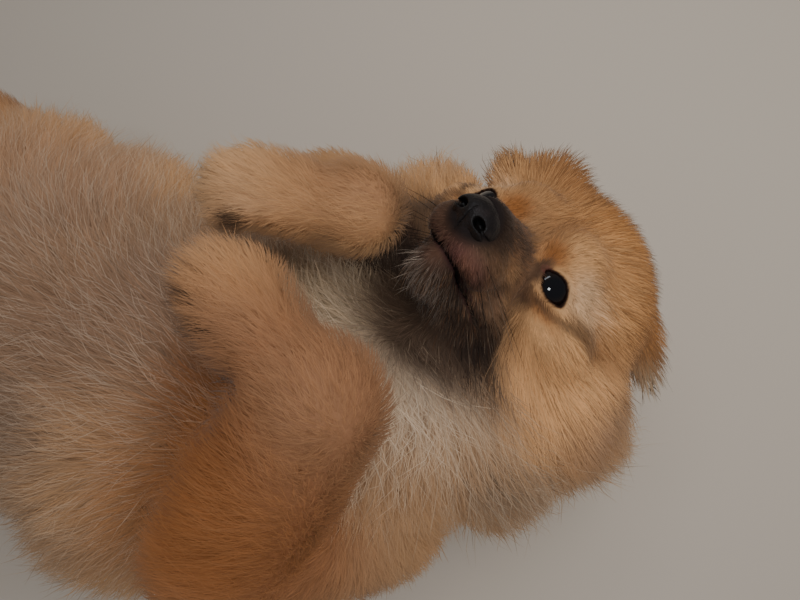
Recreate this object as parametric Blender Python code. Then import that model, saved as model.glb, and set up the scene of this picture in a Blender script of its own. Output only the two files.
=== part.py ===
"""A Pomeranian puppy lying on its back, life size, parted into its named parts.

Frame: metres, +Z up.  The spine lies along X with the head at +X and the tail
at -X.  The belly faces +Z, the puppy's right side is +Y and its left side -Y.
The origin is on the floor, under the middle of the body's bounding box.
The solids run out to the tips of the coat.

All tables below are in millimetres, in a working frame that is moved onto the
origin at the very end.
"""
import bpy
import bmesh
import math
from mathutils import Vector, Matrix

for _o in list(bpy.data.objects):
    bpy.data.objects.remove(_o, do_unlink=True)

# ------------------------------------------------------------------ dimensions
MM = 0.001
GAP = 0.3               # cut between neighbouring parts
CORE_VOXEL = 4.0        # grid that welds trunk and ruff
CORE_STEPS = 24         # relaxes trunk and ruff into one flowing form
VOXEL = 2.4             # grid that welds the whole body
SMOOTH_STEPS = 9        # relaxes the creases between forms
BODY_TRIS = 2400        # facets of the welded body before it is parted
SINK = 4.0              # how far the soft underside is pressed flat

# trunk, lying on its back
CHEST_TOP = 103.0
CHEST_HALF_WIDTH = 62.0
BELLY_HALF_WIDTH = 68.0
RUMP_HALF_WIDTH = 71.0

# head: the muzzle points at the ceiling and the crown lies away from the body
HEAD_CENTRE = Vector((16.8, 54.0, 55.2))
HEAD_FORWARD = Vector((-0.2825, 0.1289, 0.9506)).normalized()
HEAD_CROWN = Vector((0.6852, 0.7206, 0.1059))
SKULL_RADII = (37.0, 42.0, 39.0)
CHEEK_RADIUS = 28.0
EYE_RADIUS = 7.6
EYE_SPACING = 15.8
NOSE_RADII = (5.5, 8.2, 6.2)

# limbs
UPPER_ARM_RADIUS = 26.0
ELBOW_RADIUS = 19.5
WRIST_RADIUS = 14.5
FOREPAW_RADIUS = 13.5
THIGH_RADIUS = 36.0
STIFLE_RADIUS = 26.0
HOCK_RADIUS = 13.0
HINDPAW_RADIUS = 12.0
TAIL_RADIUS = 17.0

FUR_TAN = (0.50, 0.27, 0.12)
FUR_CREAM = (0.46, 0.38, 0.29)
FUR_SABLE = (0.30, 0.16, 0.07)
MASK = (0.035, 0.024, 0.020)
LEATHER = (0.012, 0.010, 0.011)
EYE_DARK = (0.010, 0.008, 0.008)


def head_axes():
    f = HEAD_FORWARD
    u = (HEAD_CROWN - f * HEAD_CROWN.dot(f)).normalized()
    left = u.cross(f)
    return f, left, u


HEAD_F, HEAD_L, HEAD_U = head_axes()
HEAD_TURN = Matrix((HEAD_F, HEAD_L, HEAD_U)).transposed()


def on_head(forward, left, up):
    """A place given from the skull's centre: forward, to the puppy's left, up."""
    return HEAD_CENTRE + HEAD_F * forward + HEAD_L * left + HEAD_U * up


# ------------------------------------------------------------- building blocks
def ball_mesh(bm, centre, radii, turn=None, fine=4):
    """Adds an ellipsoid to bm."""
    made = bmesh.ops.create_icosphere(bm, subdivisions=fine, radius=1.0)["verts"]
    turn = (turn or Matrix.Identity(3)).to_4x4()
    place = Matrix.Translation(Vector(centre)) @ turn @ Matrix.Diagonal((*radii, 1.0))
    bmesh.ops.transform(bm, matrix=place, verts=made)
    return made


def taper_mesh(bm, a, b, ra, rb, around=20, rows=7):
    """Adds a cone with round ends: two balls and the cone that touches both."""
    a, b = Vector(a), Vector(b)
    along = (b - a).normalized()
    side = along.orthogonal().normalized()
    across = along.cross(side)
    lean = math.asin(max(-1.0, min(1.0, (ra - rb) / (b - a).length)))
    meet = math.pi / 2 + lean
    turns = [(a, ra, meet * i / rows) for i in range(1, rows + 1)]
    turns += [(b, rb, meet + (math.pi - meet) * i / rows) for i in range(rows)]
    rings = []
    for centre, r, phi in turns:
        middle = centre - along * (r * math.cos(phi))
        wide = r * math.sin(phi)
        rings.append([bm.verts.new(middle + (side * math.cos(t) + across * math.sin(t)) * wide)
                      for t in (2 * math.pi * j / around for j in range(around))])
    start, end = bm.verts.new(a - along * ra), bm.verts.new(b + along * rb)
    for j in range(around):
        k = (j + 1) % around
        bm.faces.new((start, rings[0][k], rings[0][j]))
        bm.faces.new((end, rings[-1][j], rings[-1][k]))
        for low, high in zip(rings[:-1], rings[1:]):
            bm.faces.new((low[j], low[k], high[k], high[j]))


def slab_mesh(bm, centre, normal, half, thick):
    """Adds a thin square plate across `normal`."""
    n = Vector(normal).normalized()
    side = n.orthogonal().normalized()
    turn = Matrix((side, n.cross(side), n)).transposed().to_4x4()
    made = bmesh.ops.create_cube(bm, size=1.0)["verts"]
    place = Matrix.Translation(Vector(centre)) @ turn @ Matrix.Diagonal((2 * half, 2 * half, thick, 1.0))
    bmesh.ops.transform(bm, matrix=place, verts=made)


def solid(fill):
    """A mesh (in metres) from a function that fills a bmesh in millimetres."""
    bm = bmesh.new()
    fill(bm)
    bmesh.ops.scale(bm, vec=(MM, MM, MM), verts=bm.verts)
    bmesh.ops.recalc_face_normals(bm, faces=bm.faces)
    me = bpy.data.meshes.new("form")
    bm.to_mesh(me)
    bm.free()
    return me


def with_modifiers(mesh, settings):
    """Returns the mesh after a stack of (type, values) modifiers."""
    ob = bpy.data.objects.new("work", mesh)
    bpy.context.scene.collection.objects.link(ob)
    for kind, values in settings:
        mod = ob.modifiers.new(kind, kind)
        for key, value in values.items():
            setattr(mod, key, value)
    bpy.context.view_layer.update()
    shown = ob.evaluated_get(bpy.context.evaluated_depsgraph_get())
    out = bpy.data.meshes.new_from_object(shown)
    bpy.data.objects.remove(ob)
    return out


def boolean(mesh, cutter, operation):
    """mesh with cutter taken away (DIFFERENCE) or kept (INTERSECT)."""
    tool = bpy.data.objects.new("tool", cutter)
    bpy.context.scene.collection.objects.link(tool)
    out = with_modifiers(mesh, [("BOOLEAN", dict(object=tool, operation=operation, solver="EXACT"))])
    bpy.data.objects.remove(tool)
    return out


def bodies_of(mesh):
    """The mesh's separate bodies, largest first, as (volume, middle, mesh)."""
    bm = bmesh.new()
    bm.from_mesh(mesh)
    todo, groups = set(bm.verts), []
    while todo:
        front = [todo.pop()]
        group = set(front)
        while front:
            v = front.pop()
            for e in v.link_edges:
                w = e.other_vert(v)
                if w in todo:
                    todo.discard(w)
                    group.add(w)
                    front.append(w)
        groups.append(group)
    out = []
    for group in groups:
        one = bm.copy()
        one.verts.index_update()
        bm.verts.index_update()
        keep = {v.index for v in group}
        bmesh.ops.delete(one, geom=[v for v in one.verts if v.index not in keep], context="VERTS")
        if not one.faces:
            one.free()
            continue
        volume = abs(one.calc_volume())
        middle = sum((v.co for v in one.verts), Vector()) / len(one.verts)
        me = bpy.data.meshes.new("body")
        one.to_mesh(me)
        one.free()
        out.append((volume, middle / MM, me))
    bm.free()
    out.sort(key=lambda item: -item[0])
    return out


def biggest(mesh):
    return bodies_of(mesh)[0][2]


# --------------------------------------------------------------- the whole body
FORMS = []              # what the welded body is made of
REGIONS = {}            # the space of each limb part, a little wider than it


def ball(centre, radii, turn=None):
    FORMS.append(lambda bm: ball_mesh(bm, centre, radii, turn))


def taper(a, b, ra, rb):
    FORMS.append(lambda bm: taper_mesh(bm, a, b, ra, rb))


def limb(names, points, radii, margin, root):
    """A chain of tapers, each also noted as the region of one named part.

    `root` is how far along its first taper the limb is parted from the body.
    """
    for name, a, b, ra, rb in zip(names, points[:-1], points[1:], radii[:-1], radii[1:]):
        taper(a, b, ra, rb)
        a = Vector(a).lerp(Vector(b), root)
        ra = ra + (rb - ra) * root
        root = 0.0
        REGIONS[name] = (a, b, ra + margin, rb + margin)


def trunk():
    mid = CHEST_TOP / 2
    ball((-38, -4, mid), (54, CHEST_HALF_WIDTH, CHEST_TOP / 2))
    ball((-82, -6, mid + 1), (60, BELLY_HALF_WIDTH, CHEST_TOP / 2 + 1))
    ball((-95, -22, mid + 2), (50, 64, CHEST_TOP / 2 - 3))
    ball((-130, -1, mid), (55, BELLY_HALF_WIDTH + 4, CHEST_TOP / 2))
    ball((-168, 8, mid - 4), (46, RUMP_HALF_WIDTH, CHEST_TOP / 2 - 4))


def neck():
    taper((-22, 4, 50), (10, 32, 46), 47, 44)
    ball((10, -2, 42), (33, 34, 39))
    ball((31, 15, 40), (34, 34, 38))
    ball((-22, 63, 32), (34, 40, 33))


def head():
    ball(on_head(-6, -1, 0), SKULL_RADII, HEAD_TURN)
    ball(on_head(-6, 34, -20), (CHEEK_RADIUS, CHEEK_RADIUS - 1, CHEEK_RADIUS - 4), HEAD_TURN)
    ball(on_head(-6, -33, -18.5), (CHEEK_RADIUS, CHEEK_RADIUS - 3, CHEEK_RADIUS - 2.5), HEAD_TURN)
    ball(on_head(8, -22, 21), (15, 15, 15.5), HEAD_TURN)
    taper(on_head(20, 0, -11), on_head(48, 0, -13), 19.5, 11)
    taper(on_head(14, 0, -24), on_head(42, 0, -24), 15, 7.5)
    ball(on_head(56, 0, -11), NOSE_RADII, HEAD_TURN)
    taper(on_head(-10, 25, 22), on_head(-33, 42, 13), 16, 7.5)
    taper(on_head(-4, -29, 20), on_head(16, -33, 16), 16, 9)


def limbs():
    limb(("upper_arm_left", "forearm_left", "forepaw_left"),
         ((-8, -36, 68), (-48, -50, 92), (-31, -4, 117.5), (-60, 17, 119.5)),
         (UPPER_ARM_RADIUS, ELBOW_RADIUS + 2.5, WRIST_RADIUS + 5, FOREPAW_RADIUS + 2), 3.5, 0.0)
    limb(("upper_arm_right", "forearm_right", "forepaw_right"),
         ((-15, 42, 50), (-55, 58, 76), (-36, 51, 104), (-68, 46.5, 110)),
         (UPPER_ARM_RADIUS, ELBOW_RADIUS - 1.5, WRIST_RADIUS, FOREPAW_RADIUS), 3.0, 0.1)
    limb(("thigh_right", "shank_right", "hind_paw_right"),
         ((-165, 32, 46), (-206, 62, 54), (-240, 46, 84), (-256, 66, 108)),
         (THIGH_RADIUS + 2, STIFLE_RADIUS, HOCK_RADIUS, HINDPAW_RADIUS), 3.0, 0.5)
    limb(("thigh_left", "shank_left", "hind_paw_left"),
         ((-165, -24, 50), (-198, -58, 64), (-234, -42, 92), (-254, -58, 116)),
         (THIGH_RADIUS, STIFLE_RADIUS, HOCK_RADIUS, HINDPAW_RADIUS), 3.0, 0.5)


def tail():
    limb(("tail_root", "tail_tip"),
         ((-196, 6, 24), (-240, 0, 18), (-284, -12, 14)),
         (TAIL_RADIUS, TAIL_RADIUS, 9), 3.0, 0.45)


def welded(forms, core, voxel, steps):
    """One closed skin round all the forms, and round an earlier welded core."""
    def fill(bm):
        for form in forms:
            form(bm)
        if core:
            bmesh.ops.scale(bm, vec=(MM, MM, MM), verts=bm.verts)
            bm.from_mesh(core)
            bmesh.ops.scale(bm, vec=(1 / MM, 1 / MM, 1 / MM), verts=bm.verts)
    return with_modifiers(solid(fill), [
        ("REMESH", dict(mode="VOXEL", voxel_size=voxel * MM, adaptivity=0.0)),
        ("SMOOTH", dict(factor=0.5, iterations=steps)),
    ])


trunk()
neck()
CORE = welded(FORMS, None, CORE_VOXEL, CORE_STEPS)
FORMS.clear()
head()
limbs()
tail()
body = with_modifiers(welded(FORMS, CORE, VOXEL, SMOOTH_STEPS), [("TRIANGULATE", dict())])
_count = len(body.polygons)
body = with_modifiers(body, [("DECIMATE", dict(ratio=BODY_TRIS / _count, use_collapse_triangulate=True))])

# the weight presses the underside flat on the floor
_low = min(v.co.z for v in body.vertices)
FLOOR = _low / MM + SINK


def below_floor(bm):
    made = bmesh.ops.create_cube(bm, size=1.0)["verts"]
    place = Matrix.Translation((-100, 0, FLOOR - 100)) @ Matrix.Diagonal((900, 600, 200, 1))
    bmesh.ops.transform(bm, matrix=place, verts=made)


body = biggest(boolean(body, solid(below_floor), "DIFFERENCE"))


# --------------------------------------------------------------- the named parts
PARTS = {}


def take(name, fill, fill_wide):
    """Moves the material inside a region out of the body into its own part."""
    global body
    PARTS[name] = biggest(boolean(body, solid(fill), "INTERSECT"))
    body = biggest(boolean(body, solid(fill_wide), "DIFFERENCE"))


def take_taper(name, a, b, ra, rb):
    take(name,
         lambda bm: taper_mesh(bm, a, b, ra, rb, 10, 2),
         lambda bm: taper_mesh(bm, a, b, ra + GAP, rb + GAP, 10, 2))


def take_ball(name, centre, radii):
    wide = [r + GAP for r in radii]
    take(name,
         lambda bm: ball_mesh(bm, centre, radii, HEAD_TURN, fine=2),
         lambda bm: ball_mesh(bm, centre, wide, HEAD_TURN, fine=2))


for _limb in (("forepaw_left", "forearm_left", "upper_arm_left"),
              ("forepaw_right", "forearm_right", "upper_arm_right"),
              ("hind_paw_right", "shank_right", "thigh_right"),
              ("hind_paw_left", "shank_left", "thigh_left"),
              ("tail_tip", "tail_root")):
    for _name in _limb:
        take_taper(_name, *REGIONS[_name])

# eyes: whole balls in sockets
for _name, _side in (("eye_left", 1), ("eye_right", -1)):
    _at = on_head(26.2, _side * EYE_SPACING, -1.6)
    PARTS[_name] = solid(lambda bm: ball_mesh(bm, _at, (EYE_RADIUS,) * 3, HEAD_TURN, fine=3))
    body = biggest(boolean(body, solid(lambda bm: ball_mesh(bm, _at, (EYE_RADIUS + GAP,) * 3, HEAD_TURN, fine=3)),
                           "DIFFERENCE"))

take_taper("ear_left", on_head(-18, 33, 20), on_head(-36, 44, 13), 16, 12)
take_taper("ear_right", on_head(2, -36, 22), on_head(20, -38, 18), 13, 11)
take_ball("nose", on_head(58.5, 0, -11), (6.5, 9.5, 7.5))
take_taper("muzzle", on_head(30, 0, -17), on_head(52, 0, -17), 22, 17)


def cut_in_two(mesh, centre, normal, half):
    """Parts a mesh with a thin plate; returns (far side of the normal, near side)."""
    pieces = bodies_of(boolean(mesh, solid(lambda bm: slab_mesh(bm, centre, normal, half, GAP)), "DIFFERENCE"))[:2]
    n = Vector(normal)
    pieces.sort(key=lambda item: -(item[1] - Vector(centre)).dot(n))
    return pieces[0][2], pieces[1][2]


# the mouth runs back and down from below the nose
_mouth = (HEAD_U * 23 - HEAD_F * 7).normalized()
PARTS["muzzle"], PARTS["lower_jaw"] = cut_in_two(PARTS["muzzle"], on_head(44, 0, -23.5), _mouth, 60)

_neckline = Vector((0.72, 0.68, -0.10)).normalized()
PARTS["head"], body = cut_in_two(body, (6, 30, 46), _neckline, 130)
PARTS["neck"], body = cut_in_two(body, (-18, 8, 50), Vector((0.86, 0.50, 0.0)), 160)
PARTS["chest"], body = cut_in_two(body, (-82, 0, 50), Vector((1, 0, 0)), 160)
PARTS["abdomen"], PARTS["rump"] = cut_in_two(body, (-146, 0, 50), Vector((1, 0, 0)), 160)


# --------------------------------------------------------------- place and finish
LOOKS = {
    "fur_tan": (FUR_TAN, 0.95), "fur_cream": (FUR_CREAM, 0.95), "fur_sable": (FUR_SABLE, 0.95),
    "mask": (MASK, 0.9), "leather": (LEATHER, 0.45), "eye": (EYE_DARK, 0.05),
}
WEARS = {
    "head": "fur_tan", "neck": "fur_tan", "chest": "fur_cream", "abdomen": "fur_cream", "rump": "fur_cream",
    "muzzle": "mask", "lower_jaw": "mask", "nose": "leather", "ear_left": "fur_sable", "ear_right": "fur_sable",
    "eye_left": "eye", "eye_right": "eye", "tail_root": "fur_cream", "tail_tip": "fur_cream",
}
looks = {}
for _look, (_colour, _rough) in LOOKS.items():
    _mat = bpy.data.materials.new(_look)
    _mat.use_nodes = True
    _bsdf = _mat.node_tree.nodes["Principled BSDF"]
    _bsdf.inputs["Base Color"].default_value = (*_colour, 1.0)
    _bsdf.inputs["Roughness"].default_value = _rough
    _bsdf.inputs["Metallic"].default_value = 0.0
    looks[_look] = _mat

_points = [v.co for me in PARTS.values() for v in me.vertices]
_lo = [min(p[i] for p in _points) for i in range(3)]
_hi = [max(p[i] for p in _points) for i in range(3)]
_shift = Matrix.Translation((-(_lo[0] + _hi[0]) / 2, -(_lo[1] + _hi[1]) / 2, -_lo[2]))


def clean(mesh):
    """Faceted, with everything facing outward."""
    bm = bmesh.new()
    bm.from_mesh(mesh)
    bmesh.ops.triangulate(bm, faces=[f for f in bm.faces if len(f.verts) > 3])
    bmesh.ops.recalc_face_normals(bm, faces=bm.faces)
    bm.to_mesh(mesh)
    bm.free()


for _name, _mesh in PARTS.items():
    clean(_mesh)
    _mesh.transform(_shift)
    _mesh.name = _name
    _mesh.materials.clear()
    _mesh.materials.append(looks[WEARS.get(_name, "fur_tan")])
    _mesh.shade_smooth()
    _ob = bpy.data.objects.new(_name, _mesh)
    bpy.context.scene.collection.objects.link(_ob)
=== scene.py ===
import math

import bpy
import numpy as np
from mathutils import Matrix, Vector
from mathutils.kdtree import KDTree


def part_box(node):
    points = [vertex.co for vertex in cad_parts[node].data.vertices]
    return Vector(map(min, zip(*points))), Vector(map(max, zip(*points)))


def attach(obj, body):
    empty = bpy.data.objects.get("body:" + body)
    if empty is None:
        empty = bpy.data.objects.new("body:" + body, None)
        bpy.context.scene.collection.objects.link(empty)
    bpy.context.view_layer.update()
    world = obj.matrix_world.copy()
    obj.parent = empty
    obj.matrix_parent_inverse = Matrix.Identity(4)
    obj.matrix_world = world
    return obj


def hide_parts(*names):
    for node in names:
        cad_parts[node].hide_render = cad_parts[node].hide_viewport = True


# A pomeranian puppy lying on its back. Everything is worked out in millimetres in a frame
# with X towards the head, Y towards the animal's right side and Z up, and moved to the
# model's own frame at the end.

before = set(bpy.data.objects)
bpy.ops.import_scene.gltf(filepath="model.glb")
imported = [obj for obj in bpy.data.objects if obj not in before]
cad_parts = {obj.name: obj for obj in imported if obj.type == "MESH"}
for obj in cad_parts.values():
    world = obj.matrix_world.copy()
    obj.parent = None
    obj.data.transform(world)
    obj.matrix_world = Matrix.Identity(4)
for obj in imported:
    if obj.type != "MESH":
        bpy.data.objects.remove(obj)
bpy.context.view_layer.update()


DENSITY = 0.955
RNG = np.random.default_rng(1107)
FLOOR = 3.969


def unit(v):
    v = np.asarray(v, float)
    return v / np.maximum(np.linalg.norm(v, axis=-1, keepdims=True), 1e-9)


# The left eyeball's middle ties the two frames together.
_lo, _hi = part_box("eye_left")


def to_model(P):
    return P * 0.001 + SHIFT


# ------------------------------------------------------------------ colours
def lin(r, g, b):
    c = np.array((r, g, b), float) / 255
    return np.where(c <= 0.04045, c / 12.92, ((c + 0.055) / 1.055) ** 2.4)


PAL = {
    "cream_grey": lin(155, 126, 103),
    "cream": lin(214, 178, 140),
    "white_hair": lin(236, 220, 200),
    "tan": lin(220, 171, 122),
    "fawn": lin(163, 117, 84),
    "orange": lin(162, 101, 51),
    "rust": lin(150, 90, 42),
    "gold": lin(188, 130, 70),
    "cheek": lin(232, 180, 128),
    "pale": lin(240, 200, 160),
    "sable": lin(92, 62, 40),
    "mask_dark": lin(74, 58, 48),
    "mask_mid": lin(106, 80, 64),
    "lips": lin(128, 84, 80),
    "skin_pink": lin(206, 158, 136),
    "skin_dark": lin(58, 44, 42),
    "chest": lin(208, 190, 164),
    "groin": lin(192, 150, 118),
    "back": lin(186, 136, 84),
    "grey": lin(132, 118, 104),
    "smoke": lin(104, 88, 78),
    "pad": lin(86, 62, 66),
    "shoulder": lin(180, 142, 106),
    "dusk": lin(150, 118, 96),
    "stop": lin(146, 102, 66),
    "chin": lin(178, 166, 156),
    "near_black_brown": lin(38, 28, 24),
    "frill": lin(226, 204, 180),
}

# ------------------------------------------------------------------ places
HEAD = np.array((16.8, 54.0, 55.2))
HF = unit((-0.2825, 0.1289, 0.9506))
HU = np.array((0.6852, 0.7206, 0.1059))
HU = unit(HU - HF * (HF @ HU))
HL = np.cross(HU, HF)
HQ = np.stack([HF, HL, HU], 1)
EYE = {1: np.array((26.2, 15.8, -1.6)), -1: np.array((26.2, -15.8, -1.6))}
EYE_R = 7.6
LIDS_R = 8.8


def on_head(f, l, u):
    return HEAD + HF * f + HL * l + HU * u


def head_local(P):
    return (P - HEAD) @ HQ


SHIFT = (np.array(_lo) + np.array(_hi)) / 2 - (HEAD + HQ @ EYE[1]) * 0.001


LIMBS = {
    "fore_left": dict(
        pts=[(-15, -33, 65.5), (-48, -50, 92), (-31, -4, 117.5), (-60, 17, 119.5)],
        skin=[17, 16.8, 15.0, 11.5],
        out=[22.3, 21.5, 19.2, 15.5],
        lie=[(-0.75, -0.3, 0.55), (-0.42, 0.75, 0.45), (-0.95, 0.27, 0.0)],
        up=(0.1, 0.25, 1.0),
        toe_length=49,
    ),
    "fore_right": dict(
        pts=[(-15, 42, 50), (-55, 58, 76), (-37.5, 49.8, 104.3), (-68, 46.5, 110)],
        skin=[17, 13.2, 10.8, 9.4],
        out=[26, 17.5, 14.4, 13.4],
        lie=[(-0.6, 0.3, 0.7), (-0.6, 0.25, 0.75), (-0.95, -0.10, 0.34)],
        up=(0.1, 0.25, 1.0),
        toe_length=45,
    ),
    "hind_left": dict(
        pts=[(-165, -24, 50), (-198, -58, 64), (-234, -42, 92), (-254, -58, 116)],
        skin=[26, 17, 7.5, 7.0],
        out=[36, 26, 13, 12],
        up=(0.85, -0.2, 0.55),
        toe_length=41,
    ),
    "hind_right": dict(
        pts=[(-165, 32, 46), (-207, 58, 52), (-240, 46, 84), (-256, 66, 108)],
        skin=[26, 17, 7.5, 7.0],
        out=[37, 22, 13, 12],
        up=(0.85, 0.25, 0.45),
        toe_length=41,
    ),
}
for limb in LIMBS.values():
    limb["pts"] = np.array(limb["pts"], float)
    a = unit(limb["pts"][3] - limb["pts"][2])
    up = np.array(limb["up"], float)
    up = unit(up - a * (a @ up))
    limb["paw"] = np.stack([a, np.cross(up, a), up], 1)
TAIL = np.array([(-190, 6, 27), (-240, 0, 19), (-286, -12, 13)], float)


# ------------------------------------------------------------------ distance fields
def d_ell(P, c, r, Q=None):
    q = P - np.asarray(c, float)
    if Q is not None:
        q = q @ Q
    r = np.asarray(r, float)
    k0 = np.sqrt(((q / r) ** 2).sum(-1))
    k1 = np.sqrt(((q / (r * r)) ** 2).sum(-1))
    return k0 * (k0 - 1) / np.maximum(k1, 1e-6)


def d_cone(P, a, b, ra, rb):
    a = np.asarray(a, float)
    b = np.asarray(b, float)
    ba = b - a
    q = P - a
    h = np.clip((q @ ba) / (ba @ ba), 0, 1)
    w = q - h[:, None] * ba
    return np.sqrt((w * w).sum(-1)) - (ra + (rb - ra) * h)


def smin(a, b, k):
    h = np.maximum(k - np.abs(a - b), 0) / k
    return np.minimum(a, b) - h * h * h * k / 6


def smax(a, b, k):
    return -smin(-a, -b, k)


TRUNK_SKIN = [
    ((-38, -4, 48.5), (43, 48, 40)),
    ((-82, -6, 51), (50, 54, 43)),
    ((-95, -20, 51), (42, 50, 41)),
    ((-130, -1, 50), (47, 58, 42)),
    ((-168, 8, 46), (37, 57, 37.5)),
]
NECK_SKIN = [
    ("cone", (-22, 4, 47), (10, 32, 45), 34, 31),
    ("ell", (10, -2, 42), (23, 22, 29)),
    ("ell", (29, 17, 40), (22, 22, 27)),
    ("ell", (-22, 61, 34), (23, 27, 24)),
]


def skin_trunk(P):
    d = None
    for c, r in TRUNK_SKIN:
        v = d_ell(P, c, r)
        d = v if d is None else smin(d, v, 22)
    return smin(d, d_cone(P, (-52, -6, 91), (-60, -34, 88), 8, 9), 12)


def skin_neck(P):
    d = None
    for row in NECK_SKIN:
        v = d_cone(P, *row[1:]) if row[0] == "cone" else d_ell(P, row[1], row[2])
        d = v if d is None else smin(d, v, 16)
    return d


def paw_parts(limb):
    """Three points along each of the four toes, in the paw's own axes: along, across, dorsal."""
    T = limb["toe_length"]
    toes = []
    for i, (side, reach) in enumerate(((-7.4, -3.2), (-2.6, 0), (2.6, 0), (7.4, -3.2))):
        end = T - 5.5 + reach
        toes.append(((end - 15, side * 0.72, 0.8), (end - 6, side * 0.95, 1.0), (end, side * 1.05, -2.6)))
    return toes


def skin_paw(P, limb):
    q = (P - limb["pts"][2]) @ limb["paw"]
    T = limb["toe_length"]
    d = d_ell(q, (T * 0.42, 0, -1.2), (T * 0.42, 9.6, 7.4))
    d = smin(d, d_ell(q, (T * 0.56, 0, -6.6), (7.5, 7.0, 3.8)), 3)
    for a, b, c in paw_parts(limb):
        toe = smin(d_cone(q, a, b, 4.3, 4.4), d_cone(q, b, c, 4.4, 3.5), 1.5)
        toe = smin(toe, d_ell(q, (c[0] - 1.6, c[1], c[2] - 2.9), (4.4, 3.1, 2.6)), 0.8)
        d = smin(d, toe, 1.6)
    return d


def skin_limb(P, name):
    limb = LIMBS[name]
    p, r = limb["pts"], limb["skin"]
    d = d_cone(P, p[0], p[1], r[0], r[1])
    d = smin(d, d_cone(P, p[1], p[2], r[1], r[2]), 5)
    return smin(d, skin_paw(P, limb), 5)


def skin_tail(P):
    d = d_cone(P, TAIL[0], TAIL[1], 8.5, 6.0)
    return smin(d, d_cone(P, TAIL[1], TAIL[2], 6.0, 3.2), 4)


EARS = {
    # base, tip, half width, which way the leaf faces
    1: (np.array((-9.0, 26.0, 20.0)), np.array((-23.5, 41.5, 15.5)), 9.0, (0.85, 0.35, 0.25)),
    -1: (np.array((-4.3, -31.6, 21.0)), np.array((13.6, -36.8, 16.6)), 8.4, (-0.1, -0.75, 0.65)),
}


def ear_axes(side):
    a, b, w, face = EARS[side]
    x = unit(b - a)
    z = np.array(face, float)
    z = unit(z - x * (x @ z))
    return a, b, w, np.stack([x, np.cross(z, x), z], 1)


def skin_ear(q, side):
    """Head axes: a flat leaf, wide at its base, with a shallow bowl in its face."""
    a, b, w, Q = ear_axes(side)
    length = np.linalg.norm(b - a)
    p = (q - (a + b) / 2) @ Q
    taper = np.clip(1.05 - 0.55 * (p[:, 0] / length + 0.5), 0.35, 1.1)
    y = p[:, 1] / taper
    p2 = np.stack([p[:, 0], y, p[:, 2] - 0.012 * y * y + 1.0], 1)
    return d_ell(p2, (0, 0, 0), (length * 0.62, w, 3.2)) * 0.8


def lid_axes(side):
    """Out along the gaze, from the inner to the outer corner, and up."""
    g = unit(np.array((0.87, 0.48 * side, 0.0)))
    o = np.array((-g[1] * side, g[0] * side, 0.0))
    u = np.array((0.0, 0.0, 1.0))
    t = math.radians(-12)
    o2 = o * math.cos(t) + u * math.sin(t)
    u2 = u * math.cos(t) - o * math.sin(t)
    return g, o2, u2


LID_HALF = 5.9
LID_UP, LID_DOWN = 3.3, 2.9


def aperture(q, side):
    """Almond between the lids, negative inside, in head axes."""
    g, o, u = lid_axes(side)
    p = q - EYE[side]
    x, y, z = p @ o, p @ u, p @ g
    half = np.where(y > 0, LID_UP, LID_DOWN)
    edge = half * (1 - np.clip(np.abs(x) / LID_HALF, 0, 1.4) ** 2.1)
    return (np.abs(y) - edge) * 0.75, x, y, z


def mouth_line(q):
    """Distance above the closed mouth's surface, in head axes."""
    f = q[:, 0]
    return (q[:, 2] + 21.1 + 0.183 * (55.9 - f)) * 0.98


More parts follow.
